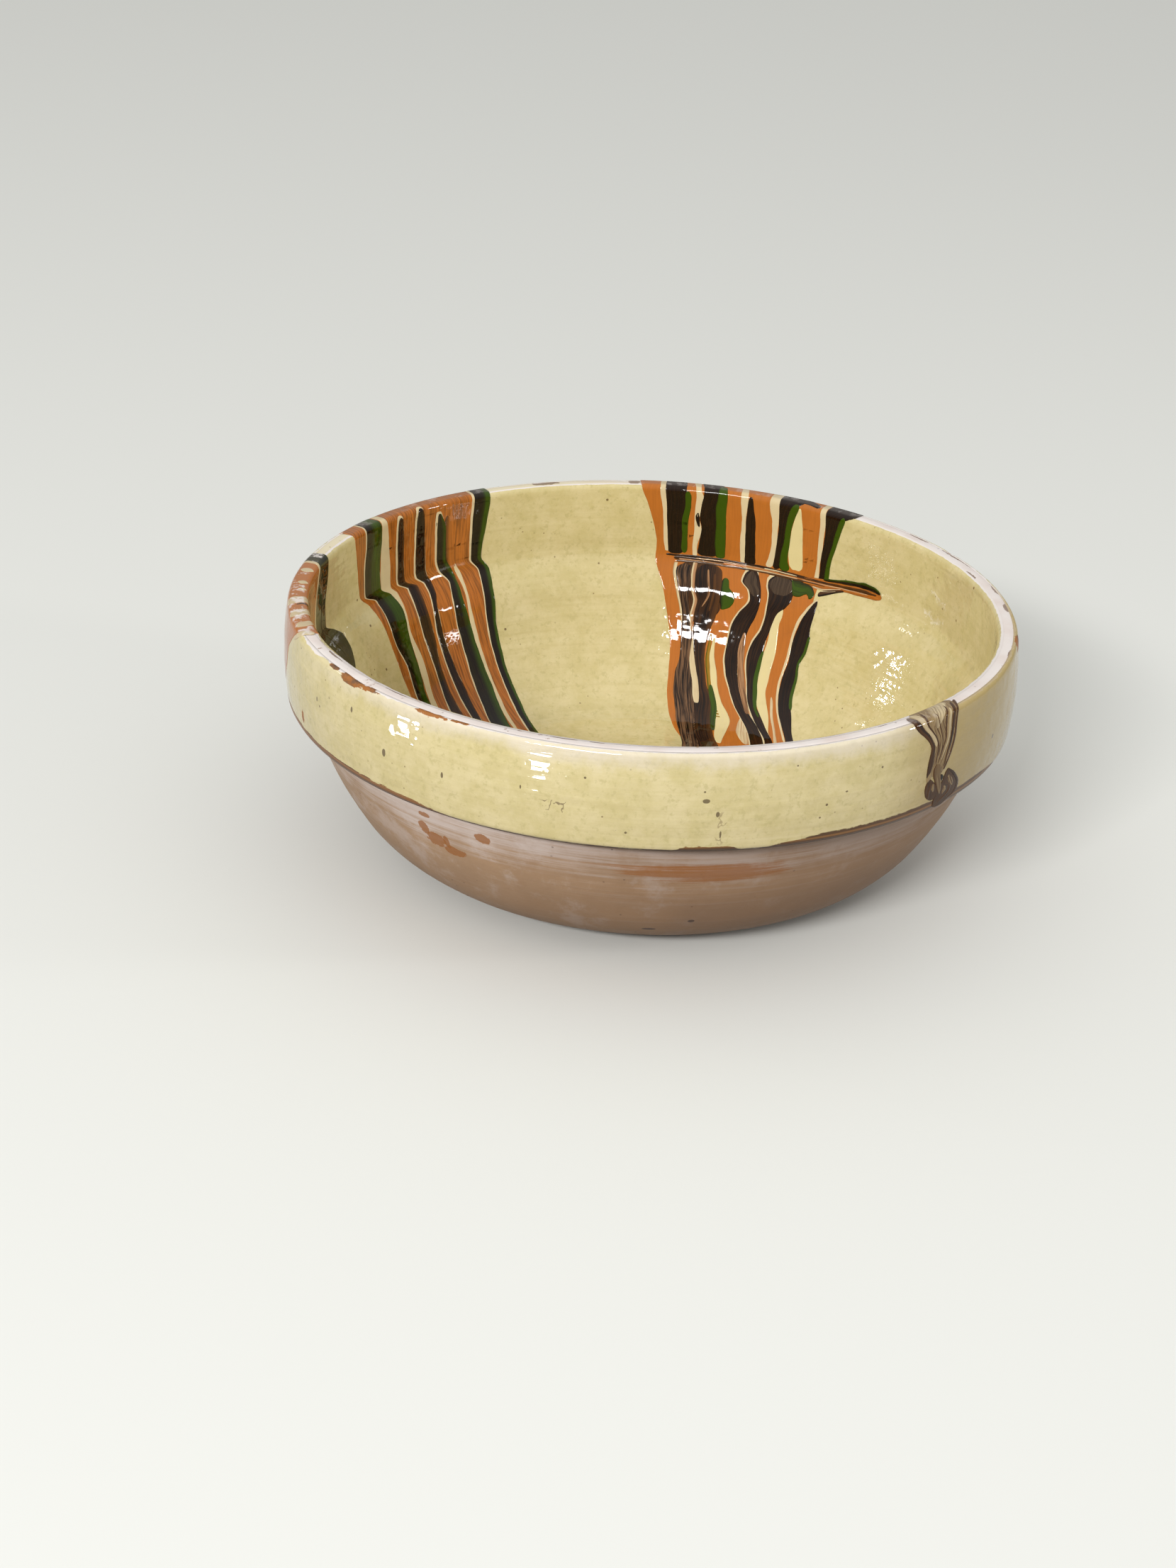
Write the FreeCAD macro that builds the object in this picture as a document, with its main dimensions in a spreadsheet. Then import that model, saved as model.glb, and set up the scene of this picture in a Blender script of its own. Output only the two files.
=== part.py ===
"""Slip-poured earthenware punch bowl: one thrown clay body, its glazes and its slip pours.

The frame stands at the centre of the foot, with +Z up the turning axis. Every section is
drawn in the XZ plane, across (x) and up (z), and turned about Z.
"""
import FreeCAD
import Part

import math
import os

import Sketcher

V = FreeCAD.Vector

# Driving dimensions: alias, value in mm or degrees, and what it is.
SIZES = [
    ("rim_radius", 180.0, "outer radius at the top and bottom edges of the collar"),
    ("collar_swell", 1.8, "how far the collar's face bellies out between its edges"),
    ("collar_height", 48.5, "collar, from the crest down to its lower edge"),
    ("collar_wall", 10.2, "thickness of the collar"),
    ("crest_round", 3.0, "radius of the two corners of the crest"),
    ("collar_undercut", 8.8, "step in from the collar's face to the bowl beneath it"),
    ("bowl_height", 129.5, "foot to crest"),
    ("flank_arc", 190.0, "radius of the wall's curve between collar and hip"),
    ("hip_inset", 31.5, "from the rim's radius in to where the flank turns towards the foot"),
    ("hip_height", 30.5, "height of that turn"),
    ("foot_inset", 78.0, "from the rim's radius in to the edge of the flat foot"),
    ("foot_bevel", 1.2, "worn edge of the foot"),
    ("bowl_wall", 7.4, "thickness of the bowl's wall below the collar"),
    ("floor_thickness", 9.0, "clay under the middle of the bowl"),
    ("ledge_rise", 7.0, "from the collar's lower edge up to the top of the inside ledge"),
    ("ledge_step", 8.8, "how far the ledge steps in"),
    ("ledge_drop", 13.0, "how far the ledge falls while it steps in"),
    ("glaze_coat", 0.4, "thickness of the glaze"),
    ("slip_coat", 0.5, "thickness of the poured slip on the glaze"),
    ("pour_floor_run", 18.5, "how far the pours run in on the flat of the bowl's floor"),
    ("lip_run", 9.0, "how far the two back pours run over the outer edge of the crest"),
    ("left_run", 44.0, "how far the left pour runs down the outside of the collar"),
    ("drip_run", 46.5, "how far the right drip runs down the outside of the collar"),
    ("back_left_from", 122.8, "bearing where the back left pour begins, from +X towards +Y"),
    ("back_left_sweep", 33.2, "angle that it covers"),
    ("back_from", 54.5, "bearing where the back pour begins"),
    ("back_sweep", 37.0, "angle that it covers"),
    ("left_from", 167.5, "bearing where the left pour begins"),
    ("left_sweep", 32.0, "angle that it covers"),
    ("drip_from", 313.0, "bearing where the right drip begins"),
    ("drip_sweep", 10.5, "angle that it covers"),
]

# Levels and radii that the sections share, as expressions on the sheet.
CREST_FOOT = "(Sizes.bowl_height - Sizes.crest_round)"
COLLAR_FOOT = "(Sizes.bowl_height - Sizes.collar_height)"
COLLAR_INNER = "(Sizes.rim_radius - Sizes.collar_wall)"
LEDGE_TOP = f"({COLLAR_FOOT} + Sizes.ledge_rise)"
LEDGE_FOOT = f"({LEDGE_TOP} - Sizes.ledge_drop)"
HIP_RADIUS = "(Sizes.rim_radius - Sizes.hip_inset)"
FOOT_RADIUS = "(Sizes.rim_radius - Sizes.foot_inset)"
COLLAR_MIDDLE = f"(({CREST_FOOT} + {COLLAR_FOOT}) / 2)"
FULL_COAT = "(Sizes.glaze_coat + Sizes.slip_coat)"
IN_THE_WALL = "(-Sizes.bowl_wall / 2)"

# The wall leans at the hip, so a step square to it goes this far across and up.
HIP_ACROSS = 0.84
HIP_UP = 0.54
# First guess at the floor's turn up to the hip, as shares of its height; tangency settles it.
FLOOR_TURN_ACROSS = 1.8
FLOOR_TURN_RADIUS = 2.2
# Half-angle tangent that keeps a skin's thickness over the ledge's corners.
LEDGE_CORNER = 0.41


class Corner:
    """A corner of a section; a coordinate that is None is left to the tangencies."""

    def __init__(self, across, up, guess=None):
        self.across = across
        self.up = up
        self.guess = guess
        self.ends = []


class Section:
    """A closed sketch in the XZ plane of a body, drawn from corners, lines and arcs."""

    def __init__(self, body, name):
        self.sketch = body.newObject("Sketcher::SketchObject", name)
        plane = next(item for item in body.Origin.OriginFeatures if item.Role == "XZ_Plane")
        self.sketch.AttachmentSupport = [(plane, "")]
        self.sketch.MapMode = "FlatFace"
        self.corners = []
        self.smooth = []

    def value(self, expression):
        return float(self.sketch.evalExpression(expression))

    def bind(self, kind, *where, expression):
        number = self.value(expression)
        index = self.sketch.addConstraint(Sketcher.Constraint(kind, *where, number))
        self.sketch.setExpression(f"Constraints[{index}]", expression)

    def corner(self, across, up, guess=None):
        made = Corner(across, up, guess)
        self.corners.append(made)
        return made

    def place(self, corner):
        across = self.value(corner.across) if corner.across else corner.guess
        return V(across, self.value(corner.up), 0)

    def line(self, start, end):
        edge = Part.LineSegment(self.place(start), self.place(end))
        index = self.sketch.addGeometry(edge, False)
        start.ends.append((index, 1))
        end.ends.append((index, 2))
        return index

    def arc(self, start, end, radius):
        """An arc whose centre is left of the way from start to end; radius is a first guess."""
        first = self.place(start)
        last = self.place(end)
        chord = last - first
        size = self.value(radius)
        reach = math.sqrt(max(size ** 2 - (chord.Length / 2) ** 2, 0))
        across = V(-chord.y, chord.x, 0).normalize()
        centre = (first + last) / 2 + across * reach
        angles = [math.atan2(p.y - centre.y, p.x - centre.x) for p in (first, last)]
        circle = Part.Circle(centre, V(0, 0, 1), size)
        index = self.sketch.addGeometry(Part.ArcOfCircle(circle, *angles), False)
        start.ends.append((index, 1))
        end.ends.append((index, 2))
        return index

    def radius(self, arc, expression):
        self.bind("Radius", arc, expression=expression)

    def centre_height(self, arc, expression):
        self.bind("DistanceY", -1, 1, arc, 3, expression=expression)

    def span(self, line, expression):
        self.bind("DistanceX", line, 1, line, 2, expression=expression)

    def close(self):
        """Ties the ends at each corner and the corner's place, once all edges are drawn."""
        for corner in self.corners:
            first, second = corner.ends
            kind = "Tangent" if corner in self.smooth else "Coincident"
            self.sketch.addConstraint(Sketcher.Constraint(kind, *first, *second))
            for direction, where, axis in (
                ("DistanceX", corner.across, -2),
                ("DistanceY", corner.up, -1),
            ):
                if where == "0":
                    self.sketch.addConstraint(Sketcher.Constraint("PointOnObject", *first, axis))
                elif where:
                    self.bind(direction, -1, 1, *first, expression=where)


def driving_sheet(document):
    sheet = document.addObject("Spreadsheet::Sheet", "Sizes")
    for row, (alias, value, meaning) in enumerate(SIZES, start=1):
        sheet.set(f"A{row}", alias)
        sheet.set(f"B{row}", str(value))
        sheet.set(f"C{row}", meaning)
        sheet.setAlias(f"B{row}", alias)
    document.recompute()
    return sheet


def draw_inside(section, inset, floor_run=None):
    """Draws the inside of the bowl, inset from the clay, from its floor to the crest's foot.

    It starts on the axis, or floor_run in from where the floor turns up. Returns the corner
    on the floor and the one at the top of the collar's inner wall.
    """
    floor_level = f"Sizes.floor_thickness + {inset}"
    hip_across = f"{HIP_RADIUS} - {HIP_ACROSS} * (Sizes.bowl_wall + {inset})"
    hip_up = f"Sizes.hip_height + {HIP_UP} * (Sizes.bowl_wall + {inset})"
    turn = section.value(hip_up) - section.value(floor_level)
    flat_guess = section.value(hip_across) - FLOOR_TURN_ACROSS * turn
    flat_end = section.corner(None, floor_level, flat_guess)
    low_guess = flat_guess - section.value(floor_run) if floor_run else None
    low = section.corner(None if floor_run else "0", floor_level, low_guess)
    hip = section.corner(hip_across, hip_up)
    step = f"{LEDGE_CORNER} * {inset}"
    ledge_foot = section.corner(
        f"{COLLAR_INNER} - Sizes.ledge_step - {inset}", f"{LEDGE_FOOT} + {step}"
    )
    ledge_top = section.corner(f"{COLLAR_INNER} - {inset}", f"{LEDGE_TOP} + {step}")
    top = section.corner(f"{COLLAR_INNER} - {inset}", CREST_FOOT)
    flat = section.line(low, flat_end)
    if floor_run:
        section.span(flat, floor_run)
    section.arc(flat_end, hip, f"{FLOOR_TURN_RADIUS} * ({hip_up} - ({floor_level}))")
    flank = section.arc(hip, ledge_foot, f"Sizes.flank_arc - Sizes.bowl_wall - {inset}")
    section.radius(flank, f"Sizes.flank_arc - Sizes.bowl_wall - {inset}")
    section.line(ledge_foot, ledge_top)
    section.line(ledge_top, top)
    section.smooth += [flat_end, hip]
    return low, top


def swell_radius(outset):
    """Radius of the collar's bellied face, standing out from the clay by outset."""
    half = f"(({CREST_FOOT} - {COLLAR_FOOT}) / 2)"
    return f"({half}^2 + Sizes.collar_swell^2) / (2 * Sizes.collar_swell) + {outset}"


def draw_collar_face(section, outset, lower_level):
    """Draws the collar's outer face from lower_level up to the foot of the crest."""
    bottom = section.corner(None, lower_level, section.value("Sizes.rim_radius"))
    top = section.corner(f"Sizes.rim_radius + {outset}", CREST_FOOT)
    face = section.arc(bottom, top, swell_radius(outset))
    section.radius(face, swell_radius(outset))
    section.centre_height(face, COLLAR_MIDDLE)
    return bottom, top


def draw_crest(section, coat, outer, inner=None):
    """Draws the crest, coat above the clay, from the outer corner over to the inner one."""
    level = f"Sizes.bowl_height + {coat}"
    outer_top = section.corner("Sizes.rim_radius - Sizes.crest_round", level)
    inner_top = section.corner(f"{COLLAR_INNER} + Sizes.crest_round", level)
    outer_arc = section.arc(outer, outer_top, f"Sizes.crest_round + {coat}")
    section.radius(outer_arc, f"Sizes.crest_round + {coat}")
    section.line(outer_top, inner_top)
    if inner:
        inner_arc = section.arc(inner_top, inner, f"Sizes.crest_round + {coat}")
        section.radius(inner_arc, f"Sizes.crest_round + {coat}")
    return inner_top


def turned(document, name, draw, sweep=None, bearing=None):
    """A body turned about Z from the section that draw makes, all round or over a sweep."""
    body = document.addObject("PartDesign::Body", name)
    section = Section(body, f"{name}_section")
    draw(section)
    section.close()
    turn = body.newObject("PartDesign::Revolution", f"{name}_turn")
    turn.Profile = section.sketch
    turn.ReferenceAxis = (section.sketch, ["V_Axis"])
    if sweep:
        turn.setExpression("Angle", sweep)
        body.Placement = FreeCAD.Placement(V(0, 0, 0), FreeCAD.Rotation(V(0, 0, 1), 1))
        body.setExpression("Placement.Rotation.Angle", bearing)
    return body


def clay_section(section):
    """The thrown wall: foot, hip, flank, undercut, collar, crest and the inside."""
    axis_foot = section.corner("0", "0")
    foot = section.corner(FOOT_RADIUS, "0")
    bevel = section.corner(f"{FOOT_RADIUS} + Sizes.foot_bevel", "Sizes.foot_bevel")
    hip = section.corner(HIP_RADIUS, "Sizes.hip_height")
    shoulder = section.corner("Sizes.rim_radius - Sizes.collar_undercut", COLLAR_FOOT)
    section.line(axis_foot, foot)
    section.line(foot, bevel)
    section.arc(bevel, hip, "2 * Sizes.hip_height")
    section.smooth.append(hip)
    flank = section.arc(hip, shoulder, "Sizes.flank_arc")
    section.radius(flank, "Sizes.flank_arc")
    collar_foot, collar_top = draw_collar_face(section, "0", COLLAR_FOOT)
    section.line(shoulder, collar_foot)
    floor, inner_top = draw_inside(section, "0")
    draw_crest(section, "0", collar_top, inner_top)
    section.line(floor, axis_foot)


def inside_glaze_section(section):
    """The glaze on the inside, with a root in the wall that is cut away with the clay."""
    floor, top = draw_inside(section, "Sizes.glaze_coat")
    root_floor, root_top = draw_inside(section, IN_THE_WALL)
    section.line(floor, root_floor)
    section.line(top, root_top)


def collar_glaze_section(section):
    """The glaze on the collar's face, with its root in the collar's wall."""
    bottom, top = draw_collar_face(section, "Sizes.glaze_coat", COLLAR_FOOT)
    root_across = "Sizes.rim_radius - Sizes.collar_wall / 2"
    root_bottom = section.corner(root_across, COLLAR_FOOT)
    root_top = section.corner(root_across, CREST_FOOT)
    section.line(root_bottom, bottom)
    section.line(top, root_top)
    section.line(root_top, root_bottom)


def outside_run(section, run):
    """The part of a pour on the collar's face; returns its top and its root's top."""
    end_level = f"Sizes.bowl_height - {run}"
    bottom, top = draw_collar_face(section, FULL_COAT, end_level)
    root_across = "Sizes.rim_radius - Sizes.collar_wall / 2"
    root_bottom = section.corner(root_across, end_level)
    root_top = section.corner(root_across, CREST_FOOT)
    section.line(root_bottom, bottom)
    section.line(root_top, root_bottom)
    return top, root_top


def pour_section(run):
    """A pour from the bowl's floor, up the inside, over the crest and down the outside."""

    def draw(section):
        low, inner_top = draw_inside(section, FULL_COAT, "Sizes.pour_floor_run")
        root_low, root_inner_top = draw_inside(section, IN_THE_WALL, "Sizes.pour_floor_run")
        outer_top, root_outer_top = outside_run(section, run)
        draw_crest(section, FULL_COAT, outer_top, inner_top)
        section.line(low, root_low)
        section.line(root_inner_top, root_outer_top)

    return draw


def drip_section(section):
    """The right drip, from the crest's flat down the outside of the collar."""
    outer_top, root_top = outside_run(section, "Sizes.drip_run")
    crest_end = draw_crest(section, FULL_COAT, outer_top)
    root_end = section.corner(f"{COLLAR_INNER} + Sizes.crest_round", CREST_FOOT)
    section.line(crest_end, root_end)
    section.line(root_end, root_top)


def clear_of(document, name, raw, tool):
    """What is left of raw outside tool, so that it lies face to face on what it coats."""
    cut = document.addObject("Part::Cut", name)
    cut.Base = raw
    cut.Tool = tool
    return cut


def build(document):
    clay = turned(document, "clay_body", clay_section)
    inside_raw = turned(document, "inside_glaze_raw", inside_glaze_section)
    collar_raw = turned(document, "collar_glaze_raw", collar_glaze_section)
    inside = clear_of(document, "inside_glaze", inside_raw, clay)
    collar = clear_of(document, "collar_glaze", collar_raw, clay)
    glazed_pot = document.addObject("Part::MultiFuse", "glazed_pot")
    glazed_pot.Shapes = [clay, inside, collar]
    pours = [
        ("back_left_slip_pour", pour_section("Sizes.lip_run"), "back_left"),
        ("back_slip_pour", pour_section("Sizes.lip_run"), "back"),
        ("left_slip_pour", pour_section("Sizes.left_run"), "left"),
        ("right_slip_drip", drip_section, "drip"),
    ]
    parts = [clay, inside, collar]
    for name, draw, key in pours:
        raw = turned(document, f"{name}_raw", draw, f"Sizes.{key}_sweep", f"Sizes.{key}_from")
        parts.append(clear_of(document, name, raw, glazed_pot))
    document.recompute()
    return parts


def check(document, parts):
    for item in document.Objects:
        if {"Invalid", "Error"} & set(item.State):
            raise RuntimeError(f"{item.Name} failed: {item.State}")
    for part in parts:
        if part.Shape.isNull() or not part.Shape.isValid() or not part.Shape.Solids:
            raise RuntimeError(f"{part.Label} has no valid solid")


def write(parts):
    os.makedirs("parts", exist_ok=True)
    for part in parts:
        part.Shape.exportStep(f"parts/{part.Label}.step")
        box = part.Shape.BoundBox
        print(
            f"{part.Label}: {len(part.Shape.Solids)} solid, {part.Shape.Volume:.0f} mm3,"
            f" x {box.XMin:.2f}..{box.XMax:.2f}, y {box.YMin:.2f}..{box.YMax:.2f},"
            f" z {box.ZMin:.2f}..{box.ZMax:.2f}"
        )


bowl = FreeCAD.newDocument("punch_bowl")
driving_sheet(bowl)
sub_parts = build(bowl)
check(bowl, sub_parts)
write(sub_parts)
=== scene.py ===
"""A slip-decorated punch bowl: a thrown earthenware body, a straw glaze inside and round the collar, and four
pours of marbled slip. It is laid out as an add-on and run as a script."""

import math

import bmesh
import bpy
from mathutils import Matrix, Vector, noise


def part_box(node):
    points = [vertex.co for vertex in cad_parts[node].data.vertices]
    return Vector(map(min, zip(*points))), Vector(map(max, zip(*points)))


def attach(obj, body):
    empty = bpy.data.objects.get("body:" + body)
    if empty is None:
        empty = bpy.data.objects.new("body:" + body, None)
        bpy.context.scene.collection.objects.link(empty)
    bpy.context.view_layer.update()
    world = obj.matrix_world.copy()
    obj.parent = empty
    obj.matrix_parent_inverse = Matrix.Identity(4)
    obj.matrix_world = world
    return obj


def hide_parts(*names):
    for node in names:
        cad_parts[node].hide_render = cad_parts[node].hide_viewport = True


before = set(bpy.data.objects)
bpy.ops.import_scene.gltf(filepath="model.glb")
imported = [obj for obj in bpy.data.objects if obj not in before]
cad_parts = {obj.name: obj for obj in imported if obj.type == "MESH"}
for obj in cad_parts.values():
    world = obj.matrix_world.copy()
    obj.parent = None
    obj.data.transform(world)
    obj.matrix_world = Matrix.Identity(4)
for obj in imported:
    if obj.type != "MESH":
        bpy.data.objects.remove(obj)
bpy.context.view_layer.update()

bl_info = {
    "name": "Slipware punch bowl",
    "version": (1, 0, 0),
    "blender": (4, 5, 0),
    "location": "View3D > Sidebar > Punch bowl",
    "description": "Builds a thrown bowl with a straw glaze and poured slips",
    "category": "Add Mesh",
}

MM = 0.001
CLAY_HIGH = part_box("clay_body")[1]
COLLAR_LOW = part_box("collar_glaze")[0]


# ---------------------------------------------------------------- what a user would change


def size(name, description, metres):
    """A length that can be set, in metres."""
    return bpy.props.FloatProperty(
        name=name, description=description, default=metres, min=0, unit="LENGTH"
    )


def colour(name, description, red, green, blue):
    """A colour that can be set, given in the usual 0 to 255."""
    shade = (red / 255, green / 255, blue / 255)
    return bpy.props.FloatVectorProperty(
        name=name, description=description, default=shade, min=0, max=1, size=3, subtype="COLOR_GAMMA"
    )


class BowlSizes(bpy.types.PropertyGroup):
    """Sizes of the pot. The first three come from the frame."""

    belly_radius: size("Belly radius", "Half the width of the collar where it is widest", CLAY_HIGH.x)
    height: size("Height", "From the foot to the crest", CLAY_HIGH.z)
    collar_foot: size("Collar foot", "Height of the collar's lower edge", COLLAR_LOW.z)
    collar_swell: size("Collar swell", "How far the collar bellies out", 1.8 * MM)
    collar_wall: size("Collar wall", "Thickness of the wall at the collar", 10.2 * MM)
    crest_round: size("Crest rounding", "Radius of the crest's two corners", 3 * MM)
    undercut: size("Undercut", "How far the wall steps in under the collar", 8.8 * MM)
    foot_radius: size("Foot radius", "Half the width of the flat foot", 102 * MM)
    floor: size("Floor", "Thickness of the clay under the hollow", 9 * MM)
    glaze: size("Glaze", "Thickness of the straw glaze", 0.4 * MM)


class SlipColours(bpy.types.PropertyGroup):
    """Colours of the clay, the glaze and the slips."""

    clay: colour("Clay", "Bare fired clay of the lower wall", 182, 149, 117)
    bloom: colour("Bloom", "Pale bloom under the collar", 220, 206, 198)
    crest: colour("Crest", "Worn white slip on the crest", 228, 219, 213)
    rust: colour("Rust", "Orange iron stains", 158, 98, 38)
    edge_brown: colour("Edge brown", "The line where the collar's glaze ends", 80, 50, 18)
    inside: colour("Inside glaze", "Straw glaze of the hollow", 208, 193, 142)
    collar: colour("Collar glaze", "Paler straw glaze of the collar", 217, 203, 151)
    orange: colour("Orange slip", "The slip that was poured first", 181, 106, 39)
    black: colour("Black slip", "Manganese slip", 26, 15, 8)
    green: colour("Green slip", "Copper slip", 54, 76, 4)
    cream: colour("Cream slip", "White slip under the glaze", 210, 191, 151)
    lemon: colour("Lemon slip", "Cream slip stained by the glaze", 216, 200, 146)
    brown: colour("Brown slip", "Black and orange slip run together", 82, 50, 20)
    pink: colour("Pink slip", "Cream and orange slip run together", 170, 126, 88)
    gold: colour("Gold slip", "Green and orange slip run together", 150, 112, 26)
    olive: colour("Olive slip", "Black and green slip run together", 40, 36, 12)
    beige: colour("Beige slip", "Thin brown slip over the glaze", 158, 134, 94)
    # Umber stands for a painted sheen at the tops of the back pour's two dark cells below the ledge; it is
    # not a slip of its own.
    umber: colour("Umber slip", "Black slip thinned with clay", 76, 59, 43)


# ---------------------------------------------------------------- the wall that everything lies on

STEP = 0.5  # mm between two points of the section
TURN_STEPS = 360  # faces round the bowl
COAT_END = 1.5  # mm over which a glaze thins out to nothing
RING_LENGTH = 8.0  # mm from one throwing ring to the next
RING_DEPTH = 0.3  # mm at most
SAG_LENGTH = 70  # mm of run over which the wall's slow sag comes and goes
SAG_DEPTH = 0.5  # mm at most
CREST_DEGREE = 3.1  # mm of crest to a degree
CHIPS = (  # knocks in the crest: bearing, run, half length along the crest, half width and depth in mm
    (222.5, -4.5, 9, 3.2, 0.9), (238, -2.5, 8, 2.2, 0.6), (96.5, -4, 5, 3, 0.5), (112, -3, 6, 2.5, 0.4),
    (30, -5, 7, 3, 0.6), (12, -3, 6, 2.5, 0.5), (290, -6, 5, 2, 0.3), (352, -6, 6, 2.5, 0.5),
)
WALL = {}  # holds the section of the clay body that was thrown last
INSIDE_START = 0.4  # run at which the inside glaze begins
COLLAR_RUNS = (-54.2, -4.6)  # the collar's glaze lies between these
UNDERLAP = 0.3  # mm that a glaze reaches into the clay


class Section:
    """Half of the bowl cut through, in mm: from under the foot, up the outside, over the crest and down the
    inside. A place on it is its run, the distance from the crest's inner corner: positive inside, negative
    outside."""

    def __init__(self, radius, height):
        self.corners = [(radius, height)]

    def line(self, radius, height):
        """A straight stretch to this radius and height."""
        r, z = self.corners[-1]
        steps = max(1, round(math.hypot(radius - r, height - z) / STEP))
        for i in range(1, steps + 1):
            share = i / steps
            self.corners.append((r + (radius - r) * share, z + (height - z) * share))

    def arc(self, radius, height, curve):
        """A round stretch of radius curve to this radius and height. A positive curve bulges to the right."""
        r, z = self.corners[-1]
        half = math.hypot(radius - r, height - z) / 2
        ahead = ((radius - r) / half / 2, (height - z) / half / 2)
        inward = math.copysign(math.sqrt(curve * curve - half * half), -curve)
        centre = ((r + radius) / 2 + ahead[1] * inward, (z + height) / 2 - ahead[0] * inward)
        turn = math.copysign(2 * math.asin(half / abs(curve)), curve)
        steps = max(2, round(abs(turn * curve) / STEP))
        for i in range(1, steps + 1):
            angle = turn * i / steps
            x, y = r - centre[0], z - centre[1]
            across = centre[0] + x * math.cos(angle) - y * math.sin(angle)
            up = centre[1] + x * math.sin(angle) + y * math.cos(angle)
            self.corners.append((across, up))

    def mark_crest(self):
        """Runs are measured from here."""
        self.crest = len(self.corners) - 1

    def soften(self, softness):
        """Rounds the corners as a wet sponge does. softness gives how far, in mm, for a run."""
        runs = [0.0]
        for (r, z), (a, b) in zip(self.corners, self.corners[1:]):
            runs.append(runs[-1] + math.hypot(a - r, b - z))
        zero = runs[self.crest]
        self.runs = [run - zero for run in runs]
        self.points = []
        for i, run in enumerate(self.runs):
            reach = min(round(softness(run) / STEP), i, len(runs) - 1 - i)
            near = self.corners[i - reach : i + reach + 1]
            self.points.append(Vector((sum(p[0] for p in near), sum(p[1] for p in near))) / len(near))

    def at(self, run):
        """The point and the outward normal at this run, as (radius, height) pairs."""
        run = min(max(run, self.runs[0]), self.runs[-1])
        low, high = 0, len(self.runs) - 1
        while high - low > 1:
            middle = (low + high) // 2
            if self.runs[middle] <= run:
                low = middle
            else:
                high = middle
        share = (run - self.runs[low]) / max(self.runs[high] - self.runs[low], 1e-9)
        point = self.points[low].lerp(self.points[high], share)
        ahead = self.points[min(high + 1, len(self.points) - 1)] - self.points[max(low - 1, 0)]
        ahead.normalize()
        return point, Vector((ahead.y, -ahead.x))


def softness(run):
    """The ledge's foot is the softest corner, and the collar's lower edge the crispest."""
    if 35 < run < 49:
        return 5
    if 49 <= run < 72:
        return 7
    return 1


def bowl_section(sizes):
    """The clay wall's section, with the same corners as the frame's."""
    belly = sizes.belly_radius / MM
    top = sizes.height / MM
    foot = sizes.collar_foot / MM
    rim = belly - sizes.collar_swell / MM
    corner = sizes.crest_round / MM
    inner = rim - sizes.collar_wall / MM
    ledge = foot + 7
    floor = sizes.floor / MM
    base = sizes.foot_radius / MM
    chord = (top - corner - foot) / 2
    swell = sizes.collar_swell / MM
    section = Section(0, 0)
    # the foot, the lower wall and the step under the collar
    section.line(base, 0)
    section.line(base + 1.2, 1.2)
    section.arc(rim - 31.5, 30.5, 65)
    section.arc(rim - sizes.undercut / MM, foot, 190)
    section.line(rim, foot)
    # the collar and the crest
    section.arc(rim, top - corner, (chord * chord + swell * swell) / 2 / swell)
    section.arc(rim - corner, top, corner)
    section.line(inner + corner, top)
    section.mark_crest()
    section.arc(inner, top - corner, corner)
    # the upper wall, the ledge and the hollow
    section.line(inner, ledge)
    section.line(inner - 8.8, ledge - 13)
    section.arc(inner - 27.5, 34.5, -182.6)
    section.arc(96.5, floor, -53.9)
    section.line(0, floor)
    section.soften(softness)
    return section


def hand(bearing, run):
    """How far the wall lies off its section, in mm: throwing rings, a slow sag and knocks. Never positive."""
    turn = math.radians(bearing)
    x, y = math.cos(turn), math.sin(turn)
    ring = noise.noise(Vector((x * 0.5, y * 0.5, run / RING_LENGTH)))
    sag = noise.noise(Vector((x * 0.9 + 7, y * 0.9, run / SAG_LENGTH)))
    depth = RING_DEPTH * (0.5 + 0.5 * ring) + SAG_DEPTH * (0.5 + 0.5 * sag)
    for b, r, length, width, knock in CHIPS:
        along = ((bearing - b + 180) % 360 - 180) * CREST_DEGREE / length
        away = along * along + ((run - r) / width) ** 2
        if away < 1:
            rough = 0.7 + 0.5 * noise.noise(Vector((bearing * 1.7, run * 0.9, b)))
            depth += knock * (1 - away) * rough
    return -depth


def surface(bearing, run, lift):
    """The point this far, in mm, above the clay at a bearing in degrees and a run, as a vector in metres."""
    point, normal = WALL["section"].at(run)
    true = min(1, point.x / 20) * min(1, point.y / 3 if run < -60 else 1)  # 0 at the axis and under the foot
    level = lift + hand(bearing, run) * true
    radius = max(0, point.x + normal.x * level)
    height = point.y + normal.y * level
    turn = math.radians(bearing)
    return Vector((radius * math.cos(turn), radius * math.sin(turn), height)) * MM


def spin_shell(top, bottom, closed):
    """A shell turned round the bowl's axis from its section: top and bottom are lists of (run, lift)."""
    bm = bmesh.new()
    run_layer = bm.verts.layers.float.new("run")
    lift_layer = bm.verts.layers.float.new("lift")
    ring = []
    for run, lift in top + bottom[::-1]:
        point, normal = WALL["section"].at(run)
        place = point + normal * lift
        vert = bm.verts.new((max(place.x, 0) * MM, 0, place.y * MM))
        vert[run_layer] = run
        vert[lift_layer] = lift
        ring.append(vert)
    edges = [bm.edges.new(pair) for pair in zip(ring, ring[1:])]
    if closed:
        edges.append(bm.edges.new((ring[-1], ring[0])))
    turn = {"axis": (0, 0, 1), "cent": (0, 0, 0), "angle": math.tau, "steps": TURN_STEPS, "use_merge": True}
    bmesh.ops.spin(bm, geom=ring + edges, **turn)
    bmesh.ops.remove_doubles(bm, verts=bm.verts, dist=1e-6)
    for vert in bm.verts:
        bearing = math.degrees(math.atan2(vert.co.y, vert.co.x))
        vert.co = surface(bearing, vert[run_layer], vert[lift_layer])
    bmesh.ops.recalc_face_normals(bm, faces=bm.faces)
    if bm.calc_volume(signed=True) < 0:
        bmesh.ops.reverse_faces(bm, faces=bm.faces)
    return bm


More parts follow.
